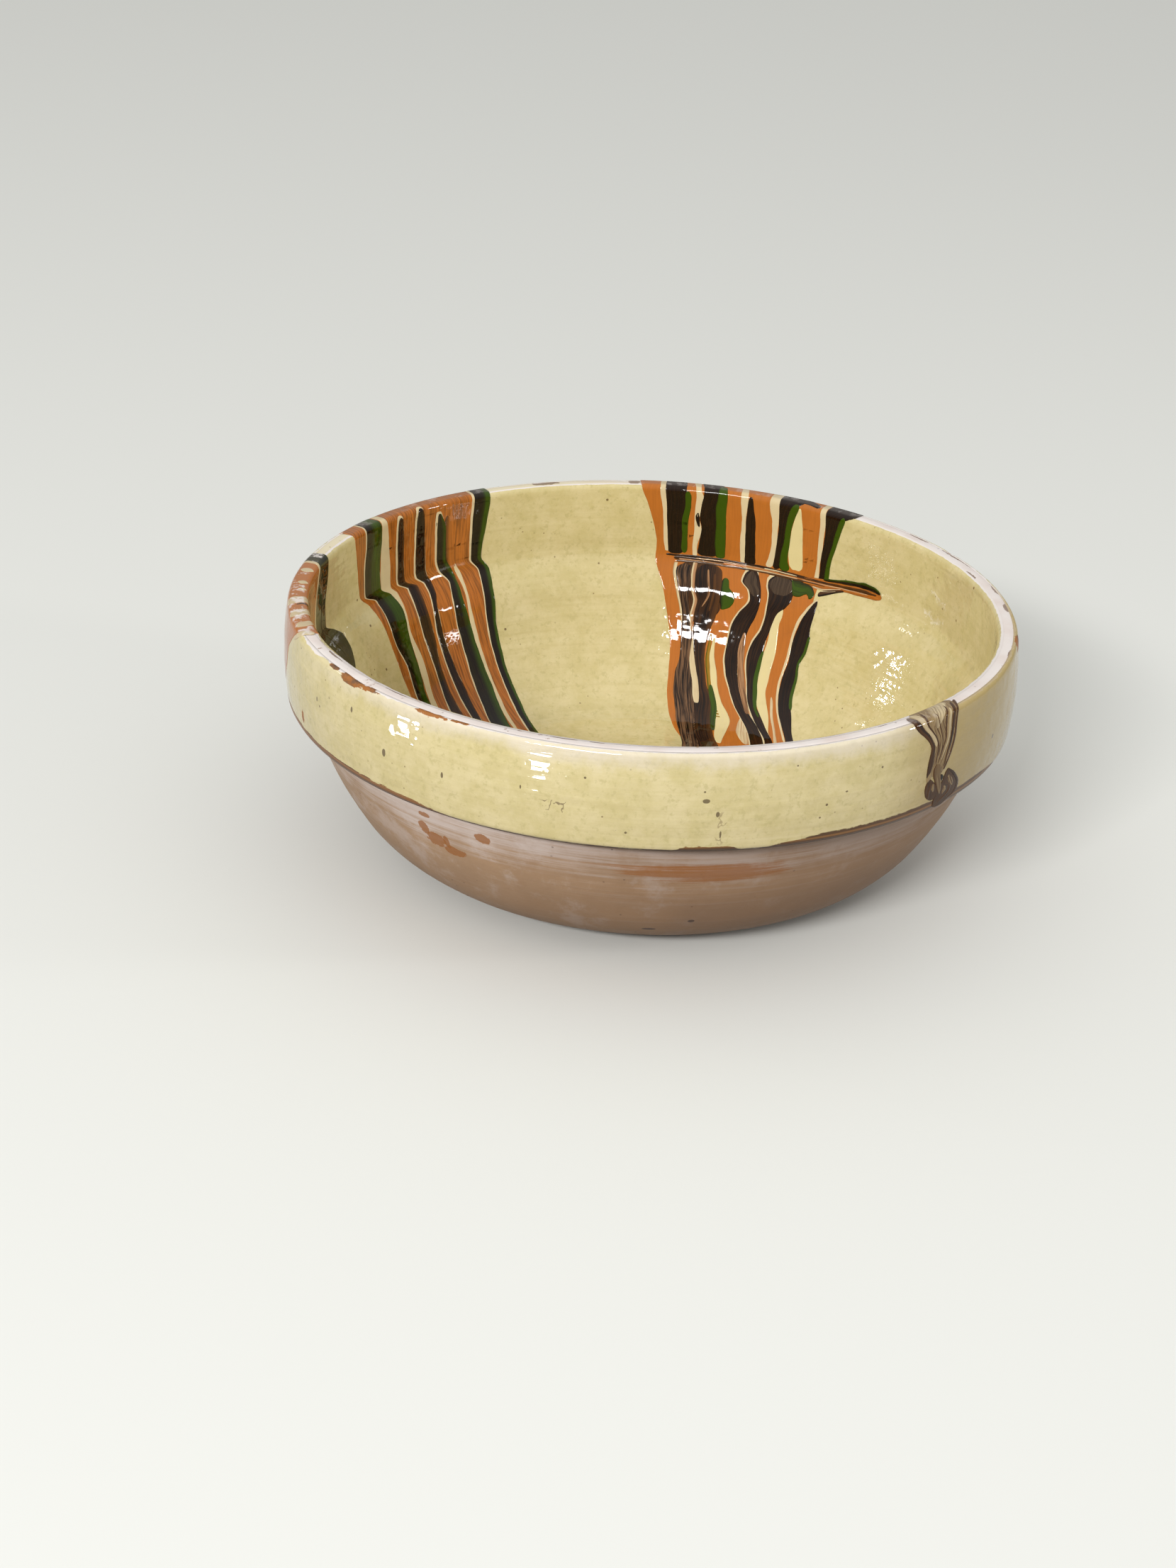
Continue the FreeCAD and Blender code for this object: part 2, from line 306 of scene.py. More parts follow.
def spread(start, end, gap):
    """Runs from start to end, gap mm apart."""
    count = max(1, round(abs(end - start) / gap))
    return [start + (end - start) * i / count for i in range(count + 1)]


def rounded(away):
    """The height of a quarter circle this far in from its foot, both as shares of its radius."""
    return math.sqrt(1 - (1 - min(away, 1)) ** 2)


def coat_lift(run, start, end, thickness):
    """A coat's thickness at a run: it thins out to nothing at its two ends."""
    return thickness * rounded(min(abs(run - start), abs(end - run)) / COAT_END)


def finish_piece(bm, name, node, material):
    """Turns the mesh into a smooth object that stands for a CAD node."""
    mesh = bpy.data.meshes.new(name)
    bm.to_mesh(mesh)
    bm.free()
    mesh.polygons.foreach_set("use_smooth", [True] * len(mesh.polygons))
    mesh.materials.append(material)
    piece = bpy.data.objects.new(name, mesh)
    bpy.context.scene.collection.objects.link(piece)
    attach(piece, "root")
    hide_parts(node)
    return piece


# ---------------------------------------------------------------- trails of slip

SLIP_BASE = 0.50  # mm above the clay to the top of the first slip laid, just proud of the glaze
SLIP_LAYER = 0.055  # mm from one slip to the one laid on it
SLIP_EDGE = 0.12  # mm that a slip's edge lies lower than its middle
SLIP_ROUND = 0.6  # mm in from its edge over which it rounds off
SLIP_THICK = 0.25  # mm from the top of a slip to its underside
EDGE_STEPS = (0, 0.25, 0.6, 1.2)  # mm from a slip's edge to the rows of its mesh beside it
DEGREE = 3  # about how many mm of wall there are to a degree


class Trail:
    """One run of slip. places are (run, from bearing, to bearing), or for a sideways smear (bearing, from
    run, to run). ends says how long its two rounded ends are, in half widths, and 0 is cut square. turns is a
    second slip with the share of the width where it starts and where it has taken over, counted from the
    lower edge. streaks is a slip that runs through it in lines, with how much."""

    def __init__(
        self, slip, places, layer=1, ends=(1, 1), turns=None, streaks=None, wobble=0.3, sideways=False
    ):
        self.slip = slip
        self.places = sorted(places)
        self.layer = layer
        self.ends = ends
        self.turns = turns
        self.streaks = streaks
        self.wobble = wobble
        self.sideways = sideways


def follow(points, x):
    """A smooth curve through (x, y) points, with no overshoot between them."""
    if x <= points[0][0]:
        return points[0][1]
    if x >= points[-1][0]:
        return points[-1][1]
    i = max(k for k in range(len(points) - 1) if points[k][0] <= x)
    (x0, y0), (x1, y1) = points[i], points[i + 1]
    slope = (y1 - y0) / (x1 - x0)
    tangents = []
    for a, b in ((i - 1, i), (i + 1, i + 2)):
        other = slope
        if a >= 0 and b < len(points):
            other = (points[b][1] - points[a][1]) / (points[b][0] - points[a][0])
        tangents.append(2 * slope * other / (slope + other) if slope * other > 0 else 0)
    span = x1 - x0
    t = (x - x0) / span
    return (
        y0 * (2 * t**3 - 3 * t**2 + 1)
        + tangents[0] * span * (t**3 - 2 * t**2 + t)
        + y1 * (3 * t**2 - 2 * t**3)
        + tangents[1] * span * (t**3 - t**2)
    )


def smoothstep(low, high, x):
    """0 at low and 1 at high, smooth between them. low may be the greater."""
    share = min(max((x - low) / (high - low), 0), 1)
    return share * share * (3 - 2 * share)


def linear(shade):
    """A colour as shaders count it, from the usual numbers."""
    return [c / 12.92 if c < 0.04045 else ((c + 0.055) / 1.055) ** 2.4 for c in shade]


def blend(a, b, share):
    """A colour between two others."""
    return [p + (q - p) * share for p, q in zip(a, b)]


def rows_of(trail, scale):
    """Where along its length a trail's mesh has rows: close together at round tips and the wall's bends."""
    first, last = trail.places[0][0], trail.places[-1][0]
    places = {first, last}
    for k, way in ((0, 1), (-1, -1)):
        end, low, high = trail.places[k]
        half = abs(high - low) / 2 * trail.ends[k] / scale / scale
        half = min(half, (last - first) * 0.45)
        places |= {end + way * half * (1 - math.cos(step * math.pi / 12)) for step in range(7)}
    place = first
    while place < last:
        bend = not trail.sideways and (-14 < place < 7 or 36 < place < 66)
        place = round(place / 0.75) * 0.75 + 0.75 if bend else place + (0.4 if trail.sideways else 1.8)
        if place < last:
            places.add(place)
    rows = sorted(places)
    return [row for row, after in zip(rows, rows[1:]) if after - row > 0.02 / scale] + [last]


def tremble(trail, step, seed, edge):
    """How far an edge of a trail strays, in mm: a slow wander and a quicker one."""
    slow = noise.noise(Vector((step / 9, seed * 3.7 + edge, 0.5)))
    quick = noise.noise(Vector((step / 3.3, seed * 5.1 + edge, 9.5)))
    return trail.wobble * (slow * 1.2 + quick * 0.5)


def row_of(trail, place, seed):
    """The trail at one of its rows: its place, its middle, its half width in degrees or mm of run and in mm,
    and how far its end has closed."""
    first, last = trail.places[0][0], trail.places[-1][0]
    low = follow([(p[0], p[1]) for p in trail.places], place)
    high = follow([(p[0], p[2]) for p in trail.places], place)
    if trail.sideways:
        scale = 1
        length_scale = WALL["section"].at((low + high) / 2)[0].x * math.pi / 180
    else:
        scale = WALL["section"].at(place)[0].x * math.pi / 180
        length_scale = 1
    step = place * length_scale
    low += tremble(trail, step, seed, 0) / scale
    high += tremble(trail, step, seed, 50) / scale
    half = (high - low) / 2 * scale
    closed = 1
    for end, reach in zip((first, last), trail.ends):
        if reach > 0:
            away = abs(place - end) * length_scale / max(abs(half) * reach, 0.05)
            closed = min(closed, rounded(away))
    middle = (low + high) / 2
    return place, middle, half / scale * closed, half * closed, closed


def edge_share(column, columns, half):
    """Where a column of a trail's mesh lies across it, from -1 to 1: close together at the edges."""
    from_edge = min(column, columns - column)
    near = [min(step, half * 0.22 * k) for k, step in enumerate(EDGE_STEPS)]
    if from_edge < len(near):
        inset = near[from_edge]
    else:
        span = half - near[-1]
        inset = near[-1] + span * (from_edge - len(near) + 1) / (columns / 2 - len(near) + 1)
    share = 1 - inset / max(half, 1e-6)
    return -share if column < columns / 2 else share


def shades_of(trail, palette, share):
    """A trail's slip at a share of its width, the slip that streaks it, and how much."""
    shade = palette[trail.slip]
    if trail.turns:
        second, begin, done = trail.turns
        shade = blend(shade, palette[second], smoothstep(begin, done, share))
    if trail.streaks:
        return shade, palette[trail.streaks[0]], trail.streaks[1]
    return shade, shade, 0


def lay_trail(bm, trail, palette, seed):
    """Adds one trail: a low ridge with rounded edges that follows the wall, closed underneath."""
    layers = bm.verts.layers
    slip_layer, streak_layer = layers.float_color["slip"], layers.float_color["streak"]
    flow_layer, run_layer = layers.float_vector["flow"], layers.float["run"]
    length_scale, width_scale = (DEGREE, 1) if trail.sideways else (1, DEGREE)
    width = max(abs(p[2] - p[1]) for p in trail.places) * width_scale
    columns = 2 * max(6, round(width / 7))
    high = SLIP_BASE + SLIP_LAYER * trail.layer
    lines = [row_of(trail, place, seed) for place in rows_of(trail, length_scale)]
    rows = len(lines) - 1
    x_count, y_count = (rows, columns) if trail.sideways else (columns, rows)
    made = bmesh.ops.create_grid(bm, x_segments=x_count, y_segments=y_count, size=1)["verts"]
    for vert in made:
        i = round((vert.co.x + 1) / 2 * x_count)
        j = round((vert.co.y + 1) / 2 * y_count)
        column, row = (j, i) if trail.sideways else (i, j)
        place, middle, reach, half, closed = lines[row]
        across = edge_share(column, columns, half)
        inset = (1 - abs(across)) * half
        lift = high - SLIP_EDGE * (1 - rounded(inset / SLIP_ROUND) * closed)
        other = middle + reach * across
        bearing, run = (place, other) if trail.sideways else (other, place)
        shade, streak, amount = shades_of(trail, palette, (across + 1) / 2)
        vert.co = surface(bearing, run, lift)
        vert[slip_layer] = (*shade, 1)
        vert[streak_layer] = (*streak, 1)
        vert[flow_layer] = (across * half + seed * 20, place * length_scale, amount)
        vert[run_layer] = run
    faces = list(dict.fromkeys(face for vert in made for face in vert.link_faces))
    bmesh.ops.solidify(bm, geom=faces, thickness=SLIP_THICK * MM)


def slip_mesh(trails, colours):
    """One mesh of all a pour's trails."""
    palette = {name: linear(getattr(colours, name)) for name in SlipColours.__annotations__}
    bm = bmesh.new()
    bm.verts.layers.float_color.new("slip")
    bm.verts.layers.float_color.new("streak")
    bm.verts.layers.float_vector.new("flow")
    bm.verts.layers.float.new("run")
    for seed, trail in enumerate(trails):
        lay_trail(bm, trail, palette, seed)
    bmesh.ops.remove_doubles(bm, verts=bm.verts, dist=1e-7)
    bmesh.ops.dissolve_degenerate(bm, edges=bm.edges, dist=1e-7)
    bmesh.ops.recalc_face_normals(bm, faces=bm.faces)
    return bm


def outlined(slip, places, layer=2, rim=0.45, sides=(1, 1), rim_slip="cream", **more):
    """A trail with a thin pale line round it: the line is a slightly wider trail under it. sides says how
    much of the line shows at the lower and at the higher edge."""
    wide = []
    for place, low, high in places:
        line = rim * (1 if place < 44 else 0.6)
        wide.append((place, low - line * sides[0], high + line * sides[1]))
    first = (wide[0][0] - 1.6, *wide[0][1:])
    ends = more.get("ends", (1, 1))
    under = Trail(rim_slip, [first, *wide[1:]] if ends[0] else wide, layer - 1, ends=ends)
    return [under, Trail(slip, places, layer, **more)]


# ---------------------------------------------------------------- the four pours


def back_left_trails():
    """Orange down the left of the back wall, with black and green fingers outlined in cream."""
    field = [
        (-9, 123.2, 157.5), (2, 123.2, 157), (17, 124, 156.2), (38, 125, 155.3), (46, 123.6, 152.8),
        (59, 123.8, 151.6), (80, 124.3, 151), (99, 124.2, 151), (118, 123.3, 151), (144, 123.2, 150.5),
        (176, 125, 148),
    ]
    dark_green = [
        (-8, 149, 153), (10, 148.4, 153), (27, 148.9, 153.7), (40, 148.6, 153.4), (45, 146.2, 150.6),
        (56, 144.9, 149.9), (68, 145.3, 149.9), (85, 145.4, 148.6), (105, 146.4, 149.4), (140, 146.2, 149),
        (166, 146, 148.2),
    ]
    cream = [
        (-6, 147.2, 148.6), (8, 146.6, 148.4), (29, 146, 148.9), (41, 145.8, 148.6), (46, 144.4, 146.3),
        (56, 144.3, 145), (67, 144.7, 145.4), (85, 143.5, 145.4), (110, 144.5, 146.4), (140, 144.4, 146),
        (168, 144.4, 145.6),
    ]
    finger_1 = [
        (4, 142.7, 143.7), (12, 142.4, 144), (30, 142.3, 144.1), (41, 142, 143.9), (46, 139.3, 141.7),
        (56, 139.1, 141.7), (75, 138.8, 141.5), (93, 139.5, 141.2), (120, 139.1, 142), (162, 139.4, 141.6),
    ]
    finger_2 = [
        (2, 137.6, 138.6), (10, 137.2, 139.2), (36, 136.9, 139.4), (41, 136.6, 139.2), (46, 135.9, 137.5),
        (52, 135.7, 137.2), (60, 136.4, 137.5), (75, 136.5, 138), (94, 135.8, 137.8), (110, 135, 137.4),
        (160, 135, 137),
    ]
    finger_3 = [
        (8, 133.2, 134.1), (18, 132.2, 134.3), (34, 132, 134.3), (41, 131, 133.6), (49, 130.3, 132),
        (60, 130, 132.4), (74, 129.4, 132.6), (94, 128.7, 132.4), (113, 127.9, 132.4), (136, 128.6, 133.4),
        (170, 129, 133),
    ]
    cream_2 = [
        (38, 130.1, 130.9), (47, 128.8, 129.8), (58, 128.6, 129.4), (74, 128.4, 129.5), (95, 127.8, 129.2),
        (121, 127, 128.4), (150, 127, 128.2), (168, 127.4, 128.2),
    ]
    black = [
        (-9, 122.6, 126), (4, 122.6, 126), (17, 123.2, 126.4), (38, 124.2, 126.5), (46, 122.8, 125),
        (58, 123, 125.2), (70, 123.2, 125.4), (84, 123.5, 125.6), (98, 123.3, 125.3), (119, 122.4, 124.5),
        (144, 122.3, 124.4), (170, 124, 125.6),
    ]
    return [
        Trail("orange", field, 0, ends=(0, 0.3), wobble=0.2, streaks=("brown", 0.65)),
        Trail(
            "orange", [(9, 130.2, 132.8), (36, 130.2, 132.6), (44, 129.4, 131.8)], ends=(2, 1),
            turns=("brown", 0.3, 0.9), streaks=("brown", 0.4),
        ),
        *outlined(
            "black", dark_green, rim=0.35, sides=(0, 1), ends=(0, 1), turns=("green", 0.72, 0.38),
            streaks=("olive", 0.6),
        ),
        Trail("cream", cream, streaks=("lemon", 0.3)),
        *outlined("black", finger_1, sides=(0, 1), turns=("brown", 0.4, 0), streaks=("brown", 0.5)),
        *outlined("black", finger_2, sides=(0.1, 1), turns=("brown", 0.2, 0), streaks=("brown", 0.3)),
        *outlined("black", finger_3, sides=(0, 1), turns=("green", 0.5, 0.15), streaks=("olive", 0.7)),
        Trail("cream", cream_2, streaks=("lemon", 0.2)),
        *outlined(
            "black", black, rim=0.5, sides=(0, 1), ends=(0, 1), turns=("green", 0.45, 0.2),
            streaks=("olive", 0.35),
        ),
    ]


def back_upper_trails():
    """The back pour from the crest to the ledge."""
    field = [
        (-9, 53, 93.6), (3, 54, 93.2), (12, 55, 92), (23, 55.8, 90.8), (35, 56.8, 90), (44, 57.5, 90),
        (50, 57.5, 89.5), (59, 57.4, 88.4), (69, 57.5, 87.5), (78, 56.8, 86.8), (90, 57.6, 85.9),
        (106, 56.7, 85.6), (118, 55, 85.5), (128, 51.5, 84.8), (141, 47, 82.8), (153, 43, 79), (176, 43, 70),
    ]
    black_1 = [
        (-9, 85, 88.7), (3, 84.8, 88.8), (10, 84.4, 88.6), (21, 84.9, 88.3), (33, 84.8, 88), (41, 84.9, 87.6),
    ]
    green_1 = [(4, 84, 85.3), (12, 83.9, 85), (22, 84.2, 85.5), (33, 84.1, 85.3), (40, 84, 85.3)]
    cream_2 = [
        (-9, 82.6, 84), (3, 82, 83.2), (8, 81.4, 83), (14, 81.7, 83.1), (19, 82.1, 83.1), (25, 81.6, 83.1),
        (36, 82.2, 83.3), (42, 82, 83),
    ]
    black_2 = [
        (-9, 78.4, 82.5), (4, 78.2, 81.6), (12, 78.8, 82), (19, 78.8, 82.1), (25, 78.7, 81.7),
        (41, 78.2, 82.3),
    ]
    green_2 = [
        (-3, 77.6, 78.8), (6, 77.1, 79), (12, 77.2, 79.3), (22, 77, 79), (32, 76.9, 79), (41, 76.8, 78.6),
    ]
    white_3 = [(-9, 74, 75), (6, 73, 74.6), (17, 73.2, 74.1), (30, 73.1, 74.2), (42, 72.8, 73.8)]
    black_3 = [(3, 72.2, 73.1), (9, 71.9, 73.2), (16, 71.5, 73.3), (28, 71.2, 73.2), (42, 70.8, 73)]
    white_4 = [(-9, 67, 69), (5, 67, 69), (15, 66.8, 68.3), (28, 66.9, 68.1), (42, 67.4, 69)]
    black_4 = [(-9, 61, 67), (1, 62.4, 67.1), (6, 64.1, 67), (14, 65, 66.9), (25, 65.4, 67), (42, 66, 67.5)]
    green_4 = [(2, 62.6, 64.6), (12, 63.9, 65.4), (24, 64.4, 65.7), (35, 64.5, 66.2), (42, 63.6, 66.4)]
    wedge = [(4, 62.6, 63.2), (11, 62.2, 63.8), (21, 61.8, 64.4), (31, 61.5, 64.6), (41, 61.3, 64)]
    white_5 = [
        (-9, 57.6, 58.9), (3, 57.5, 58.8), (11, 57.3, 58.6), (21, 57.5, 58.6), (33, 57.8, 58.7),
        (43, 57.8, 58.8),
    ]
    black_5 = [
        (-9, 51.5, 57.6), (1, 51.6, 57.5), (5, 53.6, 57.5), (10, 54.6, 57.4), (20, 55.3, 57.5),
        (33, 56.5, 57.8), (43, 56.6, 57.9),
    ]
    green_5 = [(3, 53, 54.4), (12, 54, 55.1), (20, 54.7, 55.6), (34, 55.7, 56.7), (42, 55.8, 56.8)]
    drip_tip = [(62.8, -6.5, 0.5), (60.5, -3, 1.5), (59.2, -1, 2)]
    return [
        Trail("orange", field, 0, ends=(0, 0.3), wobble=0.2, streaks=("brown", 0.12)),
        Trail(
            "cream", [(-9, 88, 89.7), (4, 88, 89.8), (17, 88, 89.1), (33, 87.8, 88.7), (40, 87.4, 88.3)],
            ends=(0, 1),
        ),
        Trail("black", black_1, 2, ends=(0, 0.4), streaks=("brown", 0.12)),
        Trail("green", green_1, 3, ends=(2, 2)),
        Trail("cream", cream_2, ends=(0, 1)),
        Trail("black", [(16, 82.3, 82.7), (18, 82.2, 82.9), (24, 81.9, 82.3)], 3, ends=(1, 2)),
        Trail("cream", [(16.6, 82.45, 82.6), (18, 82.4, 82.7)], 4, wobble=0),
        Trail("black", black_2, 2, ends=(0, 0.4), streaks=("brown", 0.12)),
        Trail("green", green_2, 3, ends=(1, 0.5), turns=("black", 0.85, 1)),
        Trail("cream", white_3, ends=(0, 1)),
        Trail("black", black_3, 2, ends=(2, 0.4), streaks=("brown", 0.12)),
        Trail("cream", white_4, ends=(0, 1)),
        Trail("black", black_4, 2, ends=(0, 1), streaks=("brown", 0.12)),
        Trail("black", drip_tip, 3, ends=(1, 0), sideways=True, streaks=("brown", 0.3)),
        Trail("green", green_4, 3, ends=(2, 1), turns=("black", 0.85, 1)),
        Trail("lemon", wedge, ends=(2, 1)),
        Trail("cream", white_5, ends=(0, 1)),
        Trail("black", black_5, 2, ends=(0, 1), streaks=("brown", 0.12)),
        Trail("green", green_5, 3, ends=(2, 1), turns=("black", 0.75, 1)),
    ]


def back_lower_trails():
    """The back pour below the ledge: the same slips, dragged sideways along the ledge and run together."""
    cell_a = [
        (46.5, 82.8, 85.6), (51, 82.9, 85.9), (57, 82.9, 85.4), (64, 82.9, 84.8), (72, 82.4, 84),
        (79, 81.8, 83.8), (88, 81.2, 83.6), (100, 80.7, 83.5), (108, 80, 84), (118, 79, 83.9),
        (128, 77.4, 83), (138, 76, 81.8), (150, 74, 79.5), (172, 68, 76),
    ]
    cell_b = [
        (45.5, 77.2, 81.4), (51, 76.8, 82), (60, 76.3, 81.8), (66, 76.5, 81), (73, 76.8, 81.4),
        (82, 77.6, 81.3), (90, 78, 81), (97, 77.9, 80.3), (112, 76.5, 79), (125, 73, 78.6), (134, 72.4, 78),
        (146, 70, 76.4), (156, 66, 74), (172, 60, 70),
    ]
    green_b = [
        (52, 75.4, 76.6), (57, 75, 76.6), (60.5, 73.8, 76.6), (64, 73.5, 76.5), (67.4, 73.8, 76.5),
        (69.6, 75, 76.6),
    ]
    tear = [
        (88, 80.8, 81.3), (96, 80.3, 81.3), (103, 79.6, 81), (112, 78.4, 80), (120, 77.4, 79.2),
        (125, 77, 78.4),
    ]
    gold = [(84, 77, 77.5), (95, 76.9, 77.7), (111, 75.3, 76.4), (124, 72.6, 74), (136, 69, 71)]
    lemon = [
        (86, 76.2, 76.7), (95, 75.9, 76.9), (104, 74.7, 76.2), (111, 74, 75.5), (121, 71.8, 74),
        (128, 69, 72.6), (134, 67.4, 71.6), (140, 67.2, 70.8), (147, 67, 69.6), (152, 66.4, 67.8),
    ]
    cell_c = [
        (44.5, 70.2, 71.8), (48, 69.7, 72.5), (52, 69.1, 72.7), (57, 68.5, 71), (62, 68.2, 70.5),
        (70, 68.6, 72.3), (77, 69.4, 73.3), (86, 70, 73.5), (95, 70.3, 73.6), (104, 69.8, 72.7),
        (113, 68.2, 70.8), (122, 65.3, 68.3), (130, 61, 64.9), (140, 56, 60.5), (156, 50, 55), (172, 48, 52),
    ]
    pink_c = [
        (80, 69.9, 70.4), (89, 69.4, 71), (98, 69, 70.4), (108, 67.6, 69.3), (118, 65.5, 67.1),
        (126, 63.6, 64.8),
    ]
    cell_d = [
        (44.5, 63, 67.2), (48, 61.9, 67.7), (52, 61.9, 67.6), (57, 61.9, 66.9), (62, 62.6, 66.6),
        (67, 64.2, 66.6), (76, 65, 66.9), (85, 65.3, 68.2), (93, 65.3, 68.6), (100, 65.2, 68.2),
        (107, 65.1, 67.2), (117, 63.8, 65.7), (124, 61, 63.6), (131, 57.6, 60.6), (140, 52.6, 55.6),
        (160, 46, 49),
    ]
    green_d = [
        (63, 45.4, 47), (62, 45, 54.6), (60.6, 46, 54), (59.2, 46.8, 51.6), (58.3, 48, 54.6),
        (57.7, 49.8, 53),
    ]
    green_d2 = [
        (88, 65.1, 65.6), (94, 65, 66), (104, 64.9, 65.9), (112, 63.9, 65), (120, 62.6, 63.6),
        (126, 60.6, 61.4),
    ]
    lemon_e = [
        (61, 63.2, 64), (66, 63, 64.7), (72, 63.2, 65), (80, 62.9, 65), (90, 62.5, 65.1), (100, 62.4, 65),
        (108, 62.2, 64.6), (116, 60.8, 63.6), (124, 58.6, 61.2), (132, 56.6, 58.2), (142, 52, 53.4),
    ]
    line_e = [
        (53, 56.4, 57), (60, 57.8, 58.4), (69, 59, 59.7), (77, 59.4, 60), (90, 59.2, 59.9), (101, 59.4, 60),
        (110, 58.7, 59.3), (119, 56.9, 57.5), (127, 54, 54.7), (136, 49.8, 50.6),
    ]
    black_f = [
        (54, 56.4, 56.9), (60, 56.3, 57.8), (69, 56.4, 59), (77, 55.8, 59.4), (83, 55.9, 59.3),
        (90, 56.6, 59.2), (98, 56, 59.4), (106, 55.7, 59.1), (114, 54.6, 58), (120, 52.9, 56.7),
        (127, 51, 54), (136, 46.8, 49.8), (150, 42, 46), (166, 41, 45),
    ]
    green_f = [
        (74, 55.7, 56.4), (82, 55.7, 56.4), (90, 56.3, 57), (98, 55.7, 56.5), (108, 55.2, 56),
        (116, 53.8, 54.8),
    ]
    edge_a = [
        (46, 85.7, 86.4), (51, 85.8, 86.5), (57, 85.4, 86), (64, 84.8, 85.3), (72, 84, 84.5),
        (80, 83.4, 83.8),
    ]
    return [
        Trail(
            "brown", [(43, 77.5, 86.3), (50, 77, 86.3), (60, 76.5, 85.6), (68, 76, 84.6), (80, 77.5, 83.4)],
            streaks=("black", 0.8),
        ),
        Trail("cream", edge_a, 2, ends=(0, 2), turns=("beige", 0.5, 1)),
        Trail("black", cell_a, 3, ends=(0.7, 1), streaks=("pink", 0.45)),
        Trail(
            "pink",
            [
                (44, 81.9, 82.7), (52, 82.1, 82.8), (60, 81.9, 82.6), (67, 81.1, 81.8), (75, 81.5, 82.2),
                (84, 81.4, 81.8),
            ],
            4, ends=(1, 2), turns=("cream", 0.5, 0.8),
        ),
        Trail("black", cell_b, 3, ends=(0.5, 1), turns=("brown", 0.35, 0), streaks=("brown", 0.55)),
        Trail(
            "pink", [(48, 79.5, 79.9), (55, 79, 79.5), (62, 78.7, 79.1), (70, 79.9, 80.2)], 4, ends=(3, 3),
            streaks=("brown", 0.9),
        ),
        Trail("brown", [(50, 78, 78.5), (60, 77.6, 78.2), (72, 78.2, 78.6)], 4, ends=(3, 3)),
        Trail("green", green_b, 4, ends=(1, 1.5), turns=("black", 0.7, 1)),
        Trail("lemon", lemon, 4, ends=(2, 0.8), streaks=("cream", 0.4)),
        Trail("gold", gold, 4, ends=(2, 2), turns=("green", 0.5, 1)),
        Trail("cream", tear, 4, ends=(3, 1), streaks=("pink", 0.25)),
        Trail(
            "green",
            [(112, 75, 75.8), (118, 73.8, 75.2), (126, 72.2, 73.8), (134, 71.4, 73), (142, 70.2, 71.6)], 5,
            ends=(2, 2), streaks=("olive", 0.7),
        ),
        *outlined("black", cell_c, 3, rim=0.5, sides=(0, 1), ends=(0.8, 1), streaks=("brown", 0.3)),
        # Painted sheen at the top of cell c, in umber.
        Trail(
            "umber",
            [(45, 70.4, 71.8), (48, 69.8, 72.4), (52, 69.2, 72.6), (56, 68.8, 71.2), (60, 68.6, 70.2)], 4,
            ends=(3, 1), streaks=("black", 0.7),
        ),
        Trail("pink", pink_c, 4, ends=(2, 2), streaks=("brown", 0.8)),
        *outlined("black", cell_d, 3, rim=0.5, sides=(0, 1), ends=(0.7, 1), streaks=("brown", 0.3)),
        # Painted sheen at the top of cell d, in umber.
        Trail(
            "umber", [(44.9, 63.4, 67), (48, 62.1, 67.5), (52, 62.1, 67.4), (55, 62.4, 67), (57, 63, 66.6)],
            4, streaks=("black", 0.55),
        ),
        Trail("green", green_d, 5, sideways=True, turns=("olive", 0.4, 0), streaks=("black", 0.4)),
        Trail("green", green_d2, 4, ends=(2, 2)),
        Trail("lemon", lemon_e, 2, ends=(1.5, 2), streaks=("cream", 0.3)),
        Trail("cream", line_e, 2, ends=(1, 2)),
        Trail(
            "cream", [(124, 64.6, 65.8), (130, 61.6, 66), (138, 59.4, 65), (147, 57, 62)], 2, ends=(3, 2),
            turns=("pink", 0.5, 0.1), streaks=("pink", 0.8),
        ),
        Trail(
            "cream", [(112, 60, 60.4), (122, 57.8, 58.5), (132, 54.4, 55.2), (142, 50.4, 51.6)], 3,
            ends=(3, 2), streaks=("pink", 0.6),
        ),
        Trail("black", black_f, 3, ends=(2, 1), streaks=("brown", 0.15)),
        Trail("green", green_f, 4, ends=(2, 2)),
    ]


def ledge_line(slip, start, end, run, drop, thick, layer, streaks=None):
    """A thin line along the ledge from one bearing to another, dropping a little on its way."""
    places = [
        (end, run + drop - thick / 3, run + drop + thick / 3),
        ((start * 2 + end) / 3, run + drop * 0.2 - thick / 2, run + drop * 0.2 + thick / 2),
        (start, run - thick / 2, run + thick / 2),
    ]
    return Trail(slip, places, layer, ends=(2, 2), sideways=True, streaks=streaks, wobble=0.2)


